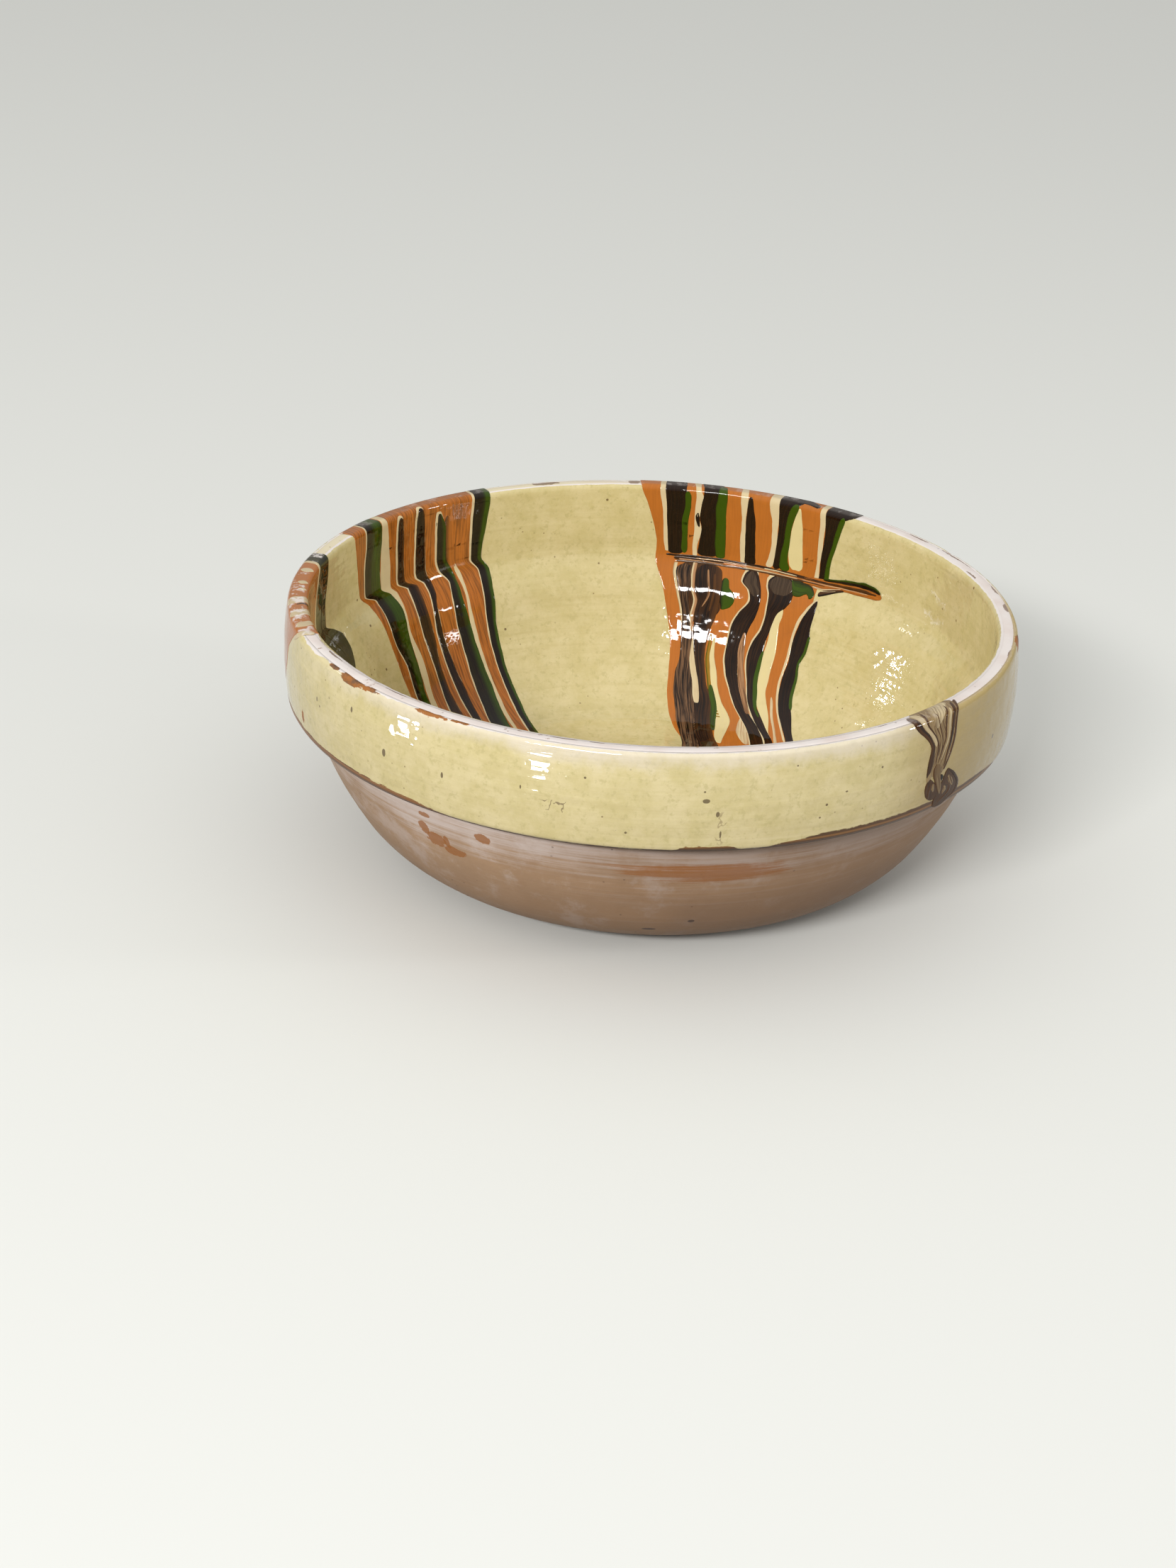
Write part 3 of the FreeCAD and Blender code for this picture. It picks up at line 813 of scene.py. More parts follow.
def ledge_smear_trails():
    """Where a tool dragged the back pour along the ledge, out to a tail on the right."""
    tail = [
        (43.4, 39.5, 41.6), (45, 37.6, 43), (47, 37.2, 43.4), (50, 38, 44), (53, 39.6, 45), (57, 41, 46.5),
        (61, 42.5, 46),
    ]
    tail_brown = [
        (44.6, 39.6, 41), (47, 39.4, 41.6), (52, 41, 43), (57, 42.4, 44), (62, 43.2, 44.4), (66, 43.4, 44),
    ]
    tail_pale = [(46.5, 41.4, 42), (52, 42.8, 43.5), (57, 43.8, 44.6), (61, 44.4, 45.2)]
    tail_green = [
        (43.8, 37.4, 39.4), (45.4, 35.8, 38.8), (47.4, 35.6, 38.8), (49.4, 36.8, 39), (51, 37.2, 40),
        (54, 39, 41), (56.8, 40.4, 42.2),
    ]
    curl = [(51.8, 43.4, 44.6), (53.6, 44.6, 46.6), (55.4, 46.4, 49.4), (57, 48.6, 51.6)]
    return [
        ledge_line("black", 88, 60, 41.6, 1.2, 1.0, 5, ("brown", 0.5)),
        ledge_line("brown", 86.5, 64, 43.2, -0.2, 1.8, 5, ("black", 0.9)),
        ledge_line("black", 86, 66, 45, 0.2, 1.0, 5, ("pink", 0.5)),
        ledge_line("pink", 85.6, 77, 43.8, 0.4, 0.5, 6),
        ledge_line("pink", 82.4, 68, 42.6, 0.6, 0.6, 6, ("cream", 0.5)),
        ledge_line("orange", 77, 60, 43.6, 0.6, 1.0, 6, ("pink", 0.5)),
        ledge_line("cream", 73, 62, 44.4, 0.4, 0.6, 6, ("pink", 0.5)),
        ledge_line("cream", 69, 58, 42.8, 1.0, 0.7, 6, ("pink", 0.4)),
        ledge_line("black", 72, 57, 42, 0.8, 0.8, 6, ("brown", 0.5)),
        ledge_line("brown", 68, 56, 45.4, -0.4, 0.9, 6, ("black", 0.5)),
        Trail("orange", tail, 5, sideways=True, streaks=("brown", 0.5)),
        Trail("brown", tail_brown, 6, ends=(1, 2), sideways=True, streaks=("black", 0.7)),
        Trail("pink", tail_pale, 6, ends=(2, 2), sideways=True, streaks=("cream", 0.5)),
        Trail(
            "black", tail_green, 6, ends=(1, 2), sideways=True, turns=("green", 0.55, 0.2),
            streaks=("olive", 0.6),
        ),
        Trail("brown", curl, 5, sideways=True, turns=("black", 0.6, 0.9), streaks=("black", 0.5)),
        Trail(
            "cream", [(52.6, 43.6, 44.2), (54.6, 45.2, 45.9), (56.6, 46.6, 47.4), (58.6, 46.6, 47.3)], 6,
            ends=(2, 2), sideways=True, streaks=("pink", 0.5),
        ),
        Trail("cream", [(53.4, 45.6, 46), (55, 47, 47.5), (56.6, 48.2, 48.8)], 6, ends=(2, 2), sideways=True),
    ]


def left_trails():
    """The pour over the crest at the left: marbled orange and cream on top, dark inside, orange outside."""
    field = [
        (-46, 187, 192), (-40, 184, 194), (-30, 181, 196), (-20, 178, 197), (-12, 173, 199.5), (-6, 169, 202),
        (0, 168, 203), (6, 168, 202), (12, 168.2, 200), (25, 169.6, 198), (40, 169.2, 196), (46, 165.6, 192),
        (52, 164, 188), (62, 164.4, 184), (72, 166, 180), (80, 169, 176),
    ]
    dark = [
        (-9, 168, 171.4), (0, 167.7, 171.8), (8, 167.9, 173.4), (16, 168.5, 175), (28, 169.8, 176.2),
        (39, 169.4, 175.6), (45, 166, 175.6), (50, 164.1, 175), (56, 164, 174.6), (64, 164.5, 174),
        (72, 166, 172.6), (79, 168.6, 171),
    ]
    band = [(-8.5, 187.6, 190.6), (-3, 187.4, 190.4), (3, 187.2, 189.6), (9, 187.4, 188.6)]
    band_2 = [(-7.5, 193.2, 195.8), (-3, 193, 195.6), (3, 192.6, 195), (8, 192.4, 193.6)]
    band_3 = [(-6.5, 198.2, 200.3), (-2, 198, 200.2), (3, 197.4, 199.4)]
    return [
        Trail("orange", field, 0, wobble=0.5, streaks=("pink", 0.35)),
        *outlined(
            "black", dark, rim=0.8, sides=(0, 1), ends=(0, 1), turns=("olive", 0.45, 0.8),
            streaks=("green", 0.35),
        ),
        Trail(
            "black", [(44, 169, 175), (50, 166.6, 174.6), (58, 166, 174), (68, 167, 173)], 3,
            turns=("olive", 0.1, 0.5), streaks=("black", 0.6),
        ),
        Trail(
            "olive", [(20, 171, 171.8), (34, 171.6, 172.6), (46, 168.6, 169.6), (60, 166.4, 167)], 4,
            ends=(3, 3),
        ),
        Trail("cream", [(-12, 199.4, 200.4), (-6, 201.6, 203), (0, 202.4, 203.8)]),
        Trail("cream", [(-5, 175, 176), (-2, 174.8, 176.6), (2, 175.2, 176.2)]),
        Trail("cream", [(-3.5, 180.6, 181.5), (-1, 180.4, 182), (2, 180.8, 181.6)]),
        Trail("cream", [(-2.5, 183.9, 184.5), (0, 183.6, 184.7), (2, 184, 184.6)]),
        Trail("cream", band, streaks=("pink", 0.4), wobble=0.6),
        Trail("brown", [(-3, 190.6, 191.1), (1, 190, 190.9), (6, 189.8, 190.3)], 2),
        Trail("cream", band_2, streaks=("pink", 0.4), wobble=0.6),
        Trail("cream", band_3, streaks=("pink", 0.4), wobble=0.6),
    ]


def drip_trails():
    """The brown drip over the crest and down the outside at the right, gathered in a knot above the collar's
    edge. Outside, runs count down from the crest, so the knot comes first."""
    body = [
        (-36, 316.2, 319.2), (-33.7, 315.2, 319.2), (-30.6, 315.2, 319.7), (-26, 315.5, 320.8),
        (-21, 315.7, 321.4), (-16.6, 315, 321.6), (-11.8, 313.4, 321.9), (-6.4, 312.2, 322.6),
        (-3, 312.1, 323.3), (0, 312.2, 323.9), (3, 312.4, 323.2), (7, 314, 321),
    ]
    crown = [(-13, 316.4, 317.6), (-8, 315.2, 319.4), (-4, 315, 321), (0, 314.8, 322.8), (3, 315, 322)]
    dark_left = [
        (-35, 315.1, 315.5), (-33, 315.1, 315.9), (-29.7, 315.2, 316.3), (-24.8, 315.5, 316.5),
        (-21, 315.7, 316.6), (-17, 315.1, 316), (-14, 314.2, 315.4), (-10.6, 313, 314.3),
        (-7.4, 312.3, 313.6), (-3.4, 312.1, 313.1), (-1, 312.2, 312.7),
    ]
    pale_left = [
        (-21, 316.6, 317.1), (-19.9, 316.5, 317.2), (-16.9, 315.9, 316.9), (-13.7, 315.1, 316.2),
        (-10.6, 314.2, 315.3), (-7.6, 313.5, 314.7), (-3, 313, 314.6), (0, 312.7, 314.4),
    ]
    black_right = [
        (-32.3, 318.7, 319), (-25.9, 319.4, 319.8), (-20.5, 320, 320.5), (-16, 320.3, 321),
        (-11, 320.6, 321.4), (-7, 321, 321.7), (-4.7, 321.4, 321.9), (-2, 322, 322.4),
    ]
    brown_edge = [
        (-34, 318.9, 319.3), (-32.3, 319.2, 319.6), (-26, 320.3, 320.8), (-19.8, 321, 321.5),
        (-12, 321.4, 321.9), (-6.1, 322, 322.6), (-1.5, 323, 323.7),
    ]
    thin = [
        [
            (-30, 316.9, 317.1), (-25.5, 317, 317.3), (-21.7, 317.2, 317.5), (-17.2, 316.8, 317.1),
            (-12.9, 315.8, 316.1), (-8, 314.7, 315.1), (-1.5, 315, 315.4),
        ],
        [
            (-29.7, 317.3, 317.5), (-24.3, 318, 318.3), (-17.3, 318.9, 319.2), (-9.9, 318.9, 319.3),
            (-4.2, 319.9, 320.3), (-2, 320.3, 320.5),
        ],
        [(-28, 317.7, 317.9), (-20, 318.2, 318.4), (-10, 317.4, 317.6), (-5, 317.2, 317.4)],
        [(-26, 317.4, 317.55), (-18, 317.7, 317.85), (-12, 316.8, 316.95)],
    ]
    pale_right = [
        (-28.4, 318, 318.3), (-23.3, 318.7, 319.2), (-18, 319.3, 320), (-10.6, 319.5, 320.3),
        (-5, 320.3, 320.9),
    ]
    knot_left = [
        (-48.6, 316.4, 318.2), (-46.5, 315.6, 318.9), (-43.5, 315.3, 318.4), (-40.5, 315.1, 317.6),
        (-38, 315.3, 316.8), (-36.5, 315.6, 316.3),
    ]
    knot_right = [
        (-54.2, 317.6, 320.8), (-52.2, 317.2, 322), (-50, 317.4, 323.7), (-47, 318, 324),
        (-44.5, 318.4, 323.7), (-41.5, 318.8, 323), (-39, 319.3, 322.3), (-36.5, 319.5, 321.3),
        (-34.8, 319.9, 320.6),
    ]
    knot_rim = [
        (-51.8, 320.6, 322.3), (-49.5, 322.8, 323.8), (-45, 323.1, 323.7), (-41, 322.2, 322.8),
        (-38, 321.3, 321.9), (-35.6, 320.2, 320.7),
    ]
    swirl = [
        (-51.4, 318.6, 319.3), (-49.5, 320, 320.7), (-46.6, 321.2, 321.8), (-44, 320.8, 321.4),
        (-42, 319.6, 320.2),
    ]
    tongue = [
        (-47, 318.7, 319.2), (-42.3, 317.8, 318.9), (-38, 317, 318.6), (-35.6, 316.6, 318.4),
        (-30, 316.4, 318.2),
    ]
    return [
        Trail("beige", body, 0, ends=(0.5, 1), streaks=("brown", 0.75)),
        Trail("cream", crown, ends=(3, 1), turns=("beige", 0.5, 0.1), streaks=("brown", 0.6)),
        Trail("brown", knot_left, streaks=("black", 0.5)),
        Trail("brown", knot_right, ends=(0.7, 1), streaks=("black", 0.5)),
        Trail("cream", pale_left, ends=(2, 1), turns=("beige", 0.3, 0), streaks=("beige", 0.4)),
        Trail("brown", dark_left, 2, streaks=("black", 0.9)),
        Trail("cream", pale_right, 2, ends=(2, 2), turns=("beige", 0.6, 0.1), streaks=("brown", 0.4)),
        Trail("brown", black_right, 3, ends=(2, 2), streaks=("black", 1.1)),
        Trail("brown", brown_edge, 2, streaks=("black", 0.4)),
        *[Trail("brown", places, 2, ends=(3, 3), wobble=0.15, streaks=("black", 0.5)) for places in thin],
        Trail("beige", [(-37.4, 315.2, 315.8), (-35, 315.1, 316.4), (-33, 315.5, 316.2)], 3, ends=(2, 2)),
        Trail("beige", tongue, 3, ends=(3, 1), turns=("brown", 0.5, 0), streaks=("brown", 0.8)),
        Trail("black", [(-39.8, 318.7, 319), (-38, 318.4, 319.3), (-36.4, 318.4, 319)], 4, ends=(2, 2)),
        Trail("brown", knot_rim, 3, ends=(2, 2), wobble=0.2, streaks=("black", 0.9)),
        Trail(
            "beige", [(-45.4, 321.8, 322.4), (-42.4, 320.8, 322), (-38.6, 320.2, 321)], 3, ends=(2, 2),
            streaks=("brown", 1.2),
        ),
        Trail("brown", swirl, 3, ends=(2, 2), wobble=0.2),
        Trail(
            "beige", [(-47.6, 319.2, 320.2), (-45, 319.6, 320.6), (-43.4, 319.4, 320.2)], 3, ends=(2, 2),
            streaks=("brown", 1),
        ),
        Trail(
            "brown", [(-47, 316, 316.5), (-44, 315.9, 316.4), (-41, 316, 316.5), (-39, 316.3, 316.7)], 3,
            ends=(3, 3),
        ),
        Trail(
            "beige", [(-44, 316.9, 317.4), (-41.4, 316.6, 317.3), (-39.6, 316.7, 317)], 3, ends=(2, 2),
            streaks=("brown", 1),
        ),
    ]


# ---------------------------------------------------------------- materials

GLAZE_INDEX = 1.52
SLIP_INDEX = 1.37  # slip lets less light off its surface than the clear straw glaze
DRIP_INDEX = 1.28  # and the drip, which ran thin, still less
CLAY_ROUGHNESS = 0.62


class Wave:
    """A number or colour that changes over a surface: a shader socket. Arithmetic on it adds Math nodes."""

    def __init__(self, socket):
        self.socket = socket

    def maths(self, operation, *others):
        inputs = dict(enumerate((self, *others)))
        return Finish(self.socket.id_data).node("ShaderNodeMath", {"operation": operation}, inputs)[0]

    def __add__(self, other):
        return self.maths("ADD", other)

    __radd__ = __add__

    def __mul__(self, other):
        return self.maths("MULTIPLY", other)

    __rmul__ = __mul__

    def __sub__(self, other):
        return self.maths("SUBTRACT", other)

    def __rsub__(self, other):
        return (self * -1) + other

    def __truediv__(self, other):
        return self.maths("DIVIDE", other)

    def rise(self, low, high):
        """0 below low, 1 above high and smooth between them. With high under low it falls instead."""
        inputs = {0: self, 1: low, 2: high, 3: 0.0, 4: 1.0}
        if high < low:
            inputs = {0: self, 1: high, 2: low, 3: 1.0, 4: 0.0}
        settings = {"interpolation_type": "SMOOTHSTEP"}
        return Finish(self.socket.id_data).node("ShaderNodeMapRange", settings, inputs)[0]


class Finish:
    """A node tree, with the nodes this bowl and its stage need."""

    def __init__(self, tree):
        self.tree = tree

    def put(self, value, socket):
        """Links a wave to a socket, or sets the socket to a plain value."""
        if isinstance(value, Wave):
            self.tree.links.new(value.socket, socket)
        else:
            socket.default_value = value

    def node(self, kind, settings, inputs):
        """Adds a node, sets its settings and then the values or links of its sockets. Returns its outputs."""
        node = self.tree.nodes.new(kind)
        for name, value in settings.items():
            setattr(node, name, value)
        for name, value in inputs.items():
            self.put(value, node.inputs[name])
        return [Wave(output) for output in node.outputs]

    def parts(self, vector):
        """The three numbers of a vector."""
        return self.node("ShaderNodeSeparateXYZ", {}, {0: vector})

    def vector(self, x, y, z):
        return self.node("ShaderNodeCombineXYZ", {}, {0: x, 1: y, 2: z})[0]

    def mix(self, share, a, b):
        """A colour from a to b."""
        settings = {"data_type": "RGBA", "clamp_factor": True}
        a, b = [value if isinstance(value, Wave) else (*value, 1) for value in (a, b)]
        return self.node("ShaderNodeMix", settings, {0: share, 6: a, 7: b})[2]

    def shade(self, **inputs):
        """Gives the Principled shader its inputs. An underscore stands for the space in a socket's name."""
        shader = self.tree.nodes["Principled BSDF"]
        for name, value in inputs.items():
            self.put(value, shader.inputs[name.replace("_", " ")])


def new_material(name):
    """An empty material with one Principled shader."""
    material = bpy.data.materials.new(name)
    material.use_nodes = True
    return material


def scaled(shade, red, green, blue):
    """A colour with its three parts made stronger or weaker, none above 1."""
    return [min(1, part * share) for part, share in zip(shade, (red, green, blue))]


class Skin(Finish):
    """The finish of a piece that lies on the wall. Coats of colour are laid over its tint one by one."""

    def __init__(self, name, ragged_scale):
        self.material = new_material(name)
        super().__init__(self.material.node_tree)
        self.place = self.node("ShaderNodeTexCoord", {}, {})[3]
        self.x, self.y, _ = self.parts(self.place)
        self.run = self.attribute("run")[2]
        self.ragged = (self.noise(ragged_scale, 4, 0.65) - 0.5) * 2

    def attribute(self, name):
        """The colour, vector and number of an attribute of the mesh."""
        return self.node("ShaderNodeAttribute", {"attribute_name": name}, {})

    def noise(self, scale, detail=2.0, roughness=0.5, distortion=0.0, vector=None):
        """Clouds from 0 to 1, over the place or over another vector."""
        inputs = {"Vector": vector or self.place, "Scale": scale, "Detail": detail}
        inputs |= {"Roughness": roughness, "Distortion": distortion}
        return self.node("ShaderNodeTexNoise", {}, inputs)[0]

    def turned(self, across, along, detail=2.0, roughness=0.5):
        """Lines left by the wheel: noise that is long round the bowl and short along the run."""
        vector = self.vector(self.x * across, self.y * across, self.run * along)
        return self.noise(1, detail, roughness, vector=vector)

    def specks(self, scale, edge, core, cloud):
        """Round specks, 1 within core of their middle and 0 beyond edge, where the cloud has them."""
        cells = self.node("ShaderNodeTexVoronoi", {}, {"Vector": self.place, "Scale": scale})
        return cells[0].rise(edge, core) * cloud

    def toward(self, bearing):
        """How far a place is from the bowl's axis toward a bearing, in metres."""
        turn = math.radians(bearing)
        return self.x * math.cos(turn) + self.y * math.sin(turn)

    def aside(self, bearing, half_length):
        """The square of how far a place is from a bearing, in half lengths, and large behind the axis."""
        across = self.toward(bearing + 90) / (half_length * MM)
        return across * across + self.toward(bearing).rise(0.01, 0.0) * 9

    def near(self, bearing, half_length):
        """1 at a bearing and 0 at half_length mm along the wall from it and beyond."""
        return self.aside(bearing, half_length).rise(1.0, 0.3)

    def patch(self, bearing, at_run, half_length, half_width, ragged, crisp=0.9):
        """1 inside a ragged patch at a bearing and run on the wall, 0 outside it. Sizes in mm."""
        along = (self.run - at_run) / half_width
        return (self.aside(bearing, half_length) + along * along + ragged).rise(1.1, crisp)

    def patched(self, tint, places, ragged, share, shade):
        """A tint with patches of a shade over it. places are (bearing, run, half length, half width)."""
        for place in places:
            tint = self.mix(self.patch(*place, ragged) * share, tint, shade)
        return tint

    def crack(self, bearing, at_run, half_length, half_width):
        """1 along a thin wandering crack within a patch of the wall."""
        line = (self.noise(90, 3, 0.6) - 0.5).maths("ABSOLUTE").rise(0.02, 0.006)
        return line * self.patch(bearing, at_run, half_length, half_width, 0.0, 0.6)

    def coat(self, share, shade):
        """Lays a colour over the tint, by a share from 0 to 1."""
        self.tint = self.mix(share, self.tint, shade)

    def bump(self, height, distance):
        """A bumpy normal from heights. distance is the height of 1, in mm."""
        inputs = {"Height": height, "Distance": distance * MM, "Strength": 1.0}
        return self.node("ShaderNodeBump", {}, inputs)[0]

    def glaze_bump(self, depth, peel, peel_share, turning, pits=0.0):
        """The gentle waves, turning lines and small pits of a run glaze, which break the light up."""
        waves = self.noise(120, 1.0) * 0.7 + self.noise(peel, 1.0) * peel_share
        height = waves + self.turned(6, 0.28) * turning
        if pits:
            height = height - self.specks(330, 0.22, 0.05, self.noise(60).rise(0.5, 0.62)) * pits
        return self.bump(height, depth)


COLLAR_CHIPS = (  # where the glaze has flaked: bearing, run, half length and half width in mm
    (221.5, -6.6, 11, 2.6), (225, -6.4, 7, 1.8), (238, -5.8, 9, 1.9), (242.5, -5.4, 6, 1.2),
    (216, -5.8, 4, 1.2), (30, -8, 6, 2.5), (352, -8, 6, 3), (205.8, -44.5, 1.6, 3.2),
)
COLLAR_SPOTS = (  # specks in the glaze: bearing, run, half length and half width in mm
    (279, -28.2, 1.6, 1.1), (280.7, -34.7, 0.8, 1.3), (278.7, -23.7, 0.6, 0.5), (281.3, -45, 0.5, 2.2),
    (296.9, -34.9, 0.6, 0.6), (252.8, -29, 0.5, 1.2), (229.5, -33, 1.0, 1.8), (222, -20, 0.7, 1.4),
    (240.4, -33, 0.6, 1.5), (268, -45, 0.6, 0.6), (300, -30, 0.8, 0.5), (306, -22, 0.6, 0.6),
    (296, -41, 0.5, 0.5), (212, -27, 0.6, 1.3), (334, -34, 1.2, 1.2), (262, -20, 0.5, 0.5),
    (292, -14, 0.5, 0.5),
)
CLAY_SPLASHES = (  # iron stains on the bare wall: bearing, run, half length and half width in mm
    (232.6, -84, 3, 4), (234.6, -89, 5.5, 4.4), (238.2, -93, 6, 3), (237, -88, 1.6, 4),
    (233.6, -74.5, 3.6, 1.6), (244.8, -77.5, 4.2, 2.6), (220, -60, 1.4, 6), (120, -90, 6, 3),
    (60, -84, 5, 2.2), (20, -96, 7, 3),
)
CLAY_SPECKS = ((272.7, -132, 3.2, 1.3), (280.2, -122, 1.6, 1.3), (220, -66, 3, 1.3), (150, -110, 2.5, 1.3))
CREST_CHIPS = (  # clay showing through the crest's white: bearing, run, half length and half width in mm
    (111, -3, 7, 2.6), (94.6, -2, 3.4, 3), (28, -5, 16, 1.5), (20, 0.5, 5, 1.4), (345, -5.5, 9, 1.4),
    (13, -5.4, 10, 1.7), (38, -4.6, 8, 1.3), (5, -4, 5, 1.8), (258, 0.4, 6, 0.9), (263, 0.4, 3, 0.7),
    (229, 0.8, 9, 1.2), (212, 0.5, 7, 1.5), (308, 0.5, 3, 0.7),
)


def mottle(skin, straw):
    """The straw glaze where it is whole: cloudy, ringed by the wheel, freckled and specked."""
    pale = scaled(straw, 1.06, 1.06, 1.12)
    skin.tint = skin.mix(skin.cloud.rise(0.3, 0.7), scaled(straw, 0.92, 0.91, 0.82), pale)
    rings = skin.turned(14, 0.34, 5, 0.65)
    ringed = skin.run.rise(60, 68) * skin.run.rise(112, 84) * 0.4 + 0.4
    freckle = skin.noise(130, 4, 0.7)
    skin.coat(rings.rise(0.42, 0.8) * ringed, scaled(straw, 0.84, 0.82, 0.7))
    skin.coat(freckle.rise(0.5, 0.7) * 0.3, scaled(straw, 0.82, 0.82, 0.66))
    skin.coat(freckle.rise(0.46, 0.32) * 0.4, pale)
    skin.coat(skin.grain.rise(0.52, 0.68) * 0.5, scaled(straw, 0.74, 0.74, 0.6))
    skin.coat(skin.grain.rise(0.44, 0.3) * 0.25, pale)
    small = skin.specks(210, 0.13, 0.05, skin.noise(45, 2).rise(0.52, 0.62))
    skin.coat(small * 0.75, linear((0.42, 0.31, 0.15)))
    large = skin.specks(60, 0.055, 0.03, skin.noise(20, 1).rise(0.5, 0.55))
    skin.coat(large * 0.8, linear((0.36, 0.24, 0.12)))


def wear_crest(skin, colours, left_side, collar):
    """Wears the straw glaze off along the crest, and leaves the bare part rough."""
    drift = skin.noise(34, 3, 0.6) - 0.5
    if collar:
        worn = (skin.run + skin.ragged * 1.8 + drift * (left_side * 7 + 2)).rise(-6.0, -5.5)
    else:
        worn = (skin.run + skin.ragged * 0.9 + drift * (left_side * 4 + 1)).rise(2.0, 1.6)
    chip = skin.noise(70, 4, 0.6).rise(0.67, 0.7).maths("MAXIMUM", left_side * skin.ragged.rise(0.15, 0.3))
    skin.coat(worn, skin.mix(chip * 0.7, linear(colours.crest), linear(colours.rust)))
    skin.rough = worn * 0.45 + 0.03 + skin.grain * 0.03


def paint_inside_reflection(skin):
    """A painted reflection: a pale patch in the hollow below the crest, on the right."""
    painted_reflection_patch = skin.patch(29, 32, 9, 8, skin.ragged * 2.6) * skin.cloud.rise(0.45, 0.6)
    skin.coat(painted_reflection_patch * 0.6, linear((0.93, 0.90, 0.84)))


def mark_collar(skin, straw, colours, left_side):
    """The collar's thin places, with a painted sheen, and thick ones, the brown line it ends in, its flakes,
    specks and cracks, and a painted reflection that darkens its far right.
    """
    ragged, run, cloud = skin.ragged, skin.run, skin.cloud
    rust = linear(colours.rust)
    strands = (skin.turned(12, 0.9, 3, 0.6) - 0.5) * 2
    # Paler just under the crest toward the front: thinner glaze, with a painted sheen.
    thin = (run + (cloud - 0.5) * 14 + ragged).rise(-17, -7) * skin.near(270, 170) * 0.5
    skin.coat(thin, linear(colours.crest))
    # Painted reflection: the glaze is darkened to a deeper straw toward the far right.
    skin.coat(skin.near(342, 110) * 0.8, scaled(straw, 0.58, 0.47, 0.28))
    thick = skin.near(314, 84) * 4.0 + skin.near(279.5, 16) * 2.2 + skin.near(213, 90) * 3.0
    brown = (run + ragged * 1.1 + strands * 1.2 - thick).rise(-53.3, -53.6)
    line = (run + strands * 0.9 + 51.6).maths("ABSOLUTE").rise(0.7, 0.2)
    lip = skin.mix(line * 0.8, linear(colours.edge_brown), linear((0.55, 0.38, 0.19)))
    skin.coat(brown, skin.mix(left_side * strands.rise(-0.4, 0.4) * 0.8, lip, rust))
    skin.rough = skin.rough + brown * 0.35
    flaked = skin.mix(cloud.rise(0.5, 0.62), rust, (0.14, 0.07, 0.03))
    for place in COLLAR_CHIPS:
        knock = skin.patch(*place, ragged * 2.2 + strands)
        skin.coat(knock, flaked)
        skin.rough = skin.rough + knock * 0.4
    skin.tint = skin.patched(skin.tint, COLLAR_SPOTS, ragged * 1.2, 0.85, (0.10, 0.06, 0.02))
    ridge = skin.patch(296, -48.6, 66, 1.0, ragged * 0.3 + strands * 0.5, 0.2)
    skin.coat(ridge * 0.5, scaled(straw, 1.06, 1.06, 1.12))
    skin.coat(skin.crack(258.5, -35.5, 14, 3.0) * 0.75, (0.14, 0.09, 0.04))
    skin.coat(skin.crack(281.3, -42, 3, 9.0) * 0.5, (0.20, 0.12, 0.05))


def straw_glaze(name, shade, colours, collar):
    """The glossy straw glaze, mottled, pitted, and worn off along the crest."""
    skin = Skin(name, 140)
    straw = linear(shade)
    skin.cloud = skin.noise(62, 6, 0.68)
    skin.grain = skin.noise(300, 3, 0.7)
    left_side = skin.near(218, 90)
    mottle(skin, straw)
    wear_crest(skin, colours, left_side, collar)
    if collar:
        mark_collar(skin, straw, colours, left_side)
        bump = skin.glaze_bump(0.45, 190, 0.27, 0.45, 0.12)
    else:
        paint_inside_reflection(skin)
        bump = skin.glaze_bump(0.36, 340, 0.3, 0.45, 0.12)
    skin.shade(Base_Color=skin.tint, Roughness=skin.rough, IOR=GLAZE_INDEX, Normal=bump)
    return skin.material


def slip_finish(name, index, colours):
    """Glossy slip under the glaze: the trail's own colour, with streaks that follow its flow."""
    skin = Skin(name, 150)
    across, along, amount = skin.parts(skin.attribute("flow")[1])
    lines = skin.noise(1, 3, 0.6, 0.4, skin.vector(across * 1.1, along * 0.045, 0.0))
    fine = skin.noise(1, 2, 0.5, 0.2, skin.vector(across * 4.0, along * 0.1, 0.0))
    share = (lines * 0.7 + fine * 0.3).rise(0.42, 0.62) * amount
    skin.tint = skin.mix(share, skin.attribute("slip")[0], skin.attribute("streak")[0])
    skin.coat(skin.noise(90, 4, 0.6).rise(0.5, 0.8) * 0.12, linear((0.30, 0.19, 0.10)))
    top = skin.run.rise(-7.5, -6.0) * skin.run.rise(1.5, 0.2)
    handled = skin.x.rise(-0.155, -0.165) * 0.8 + 0.2
    skin.coat(top * 0.16, linear((0.45, 0.40, 0.36)))
    skin.coat(top * (skin.ragged + 0.25).rise(0.25, 0.5) * handled * 0.8, linear(colours.crest))
    bump = skin.glaze_bump(0.26, 200, 0.27, 0.12)
    skin.shade(Base_Color=skin.tint, Roughness=top * 0.15 + 0.035, IOR=index, Normal=bump)
    return skin.material


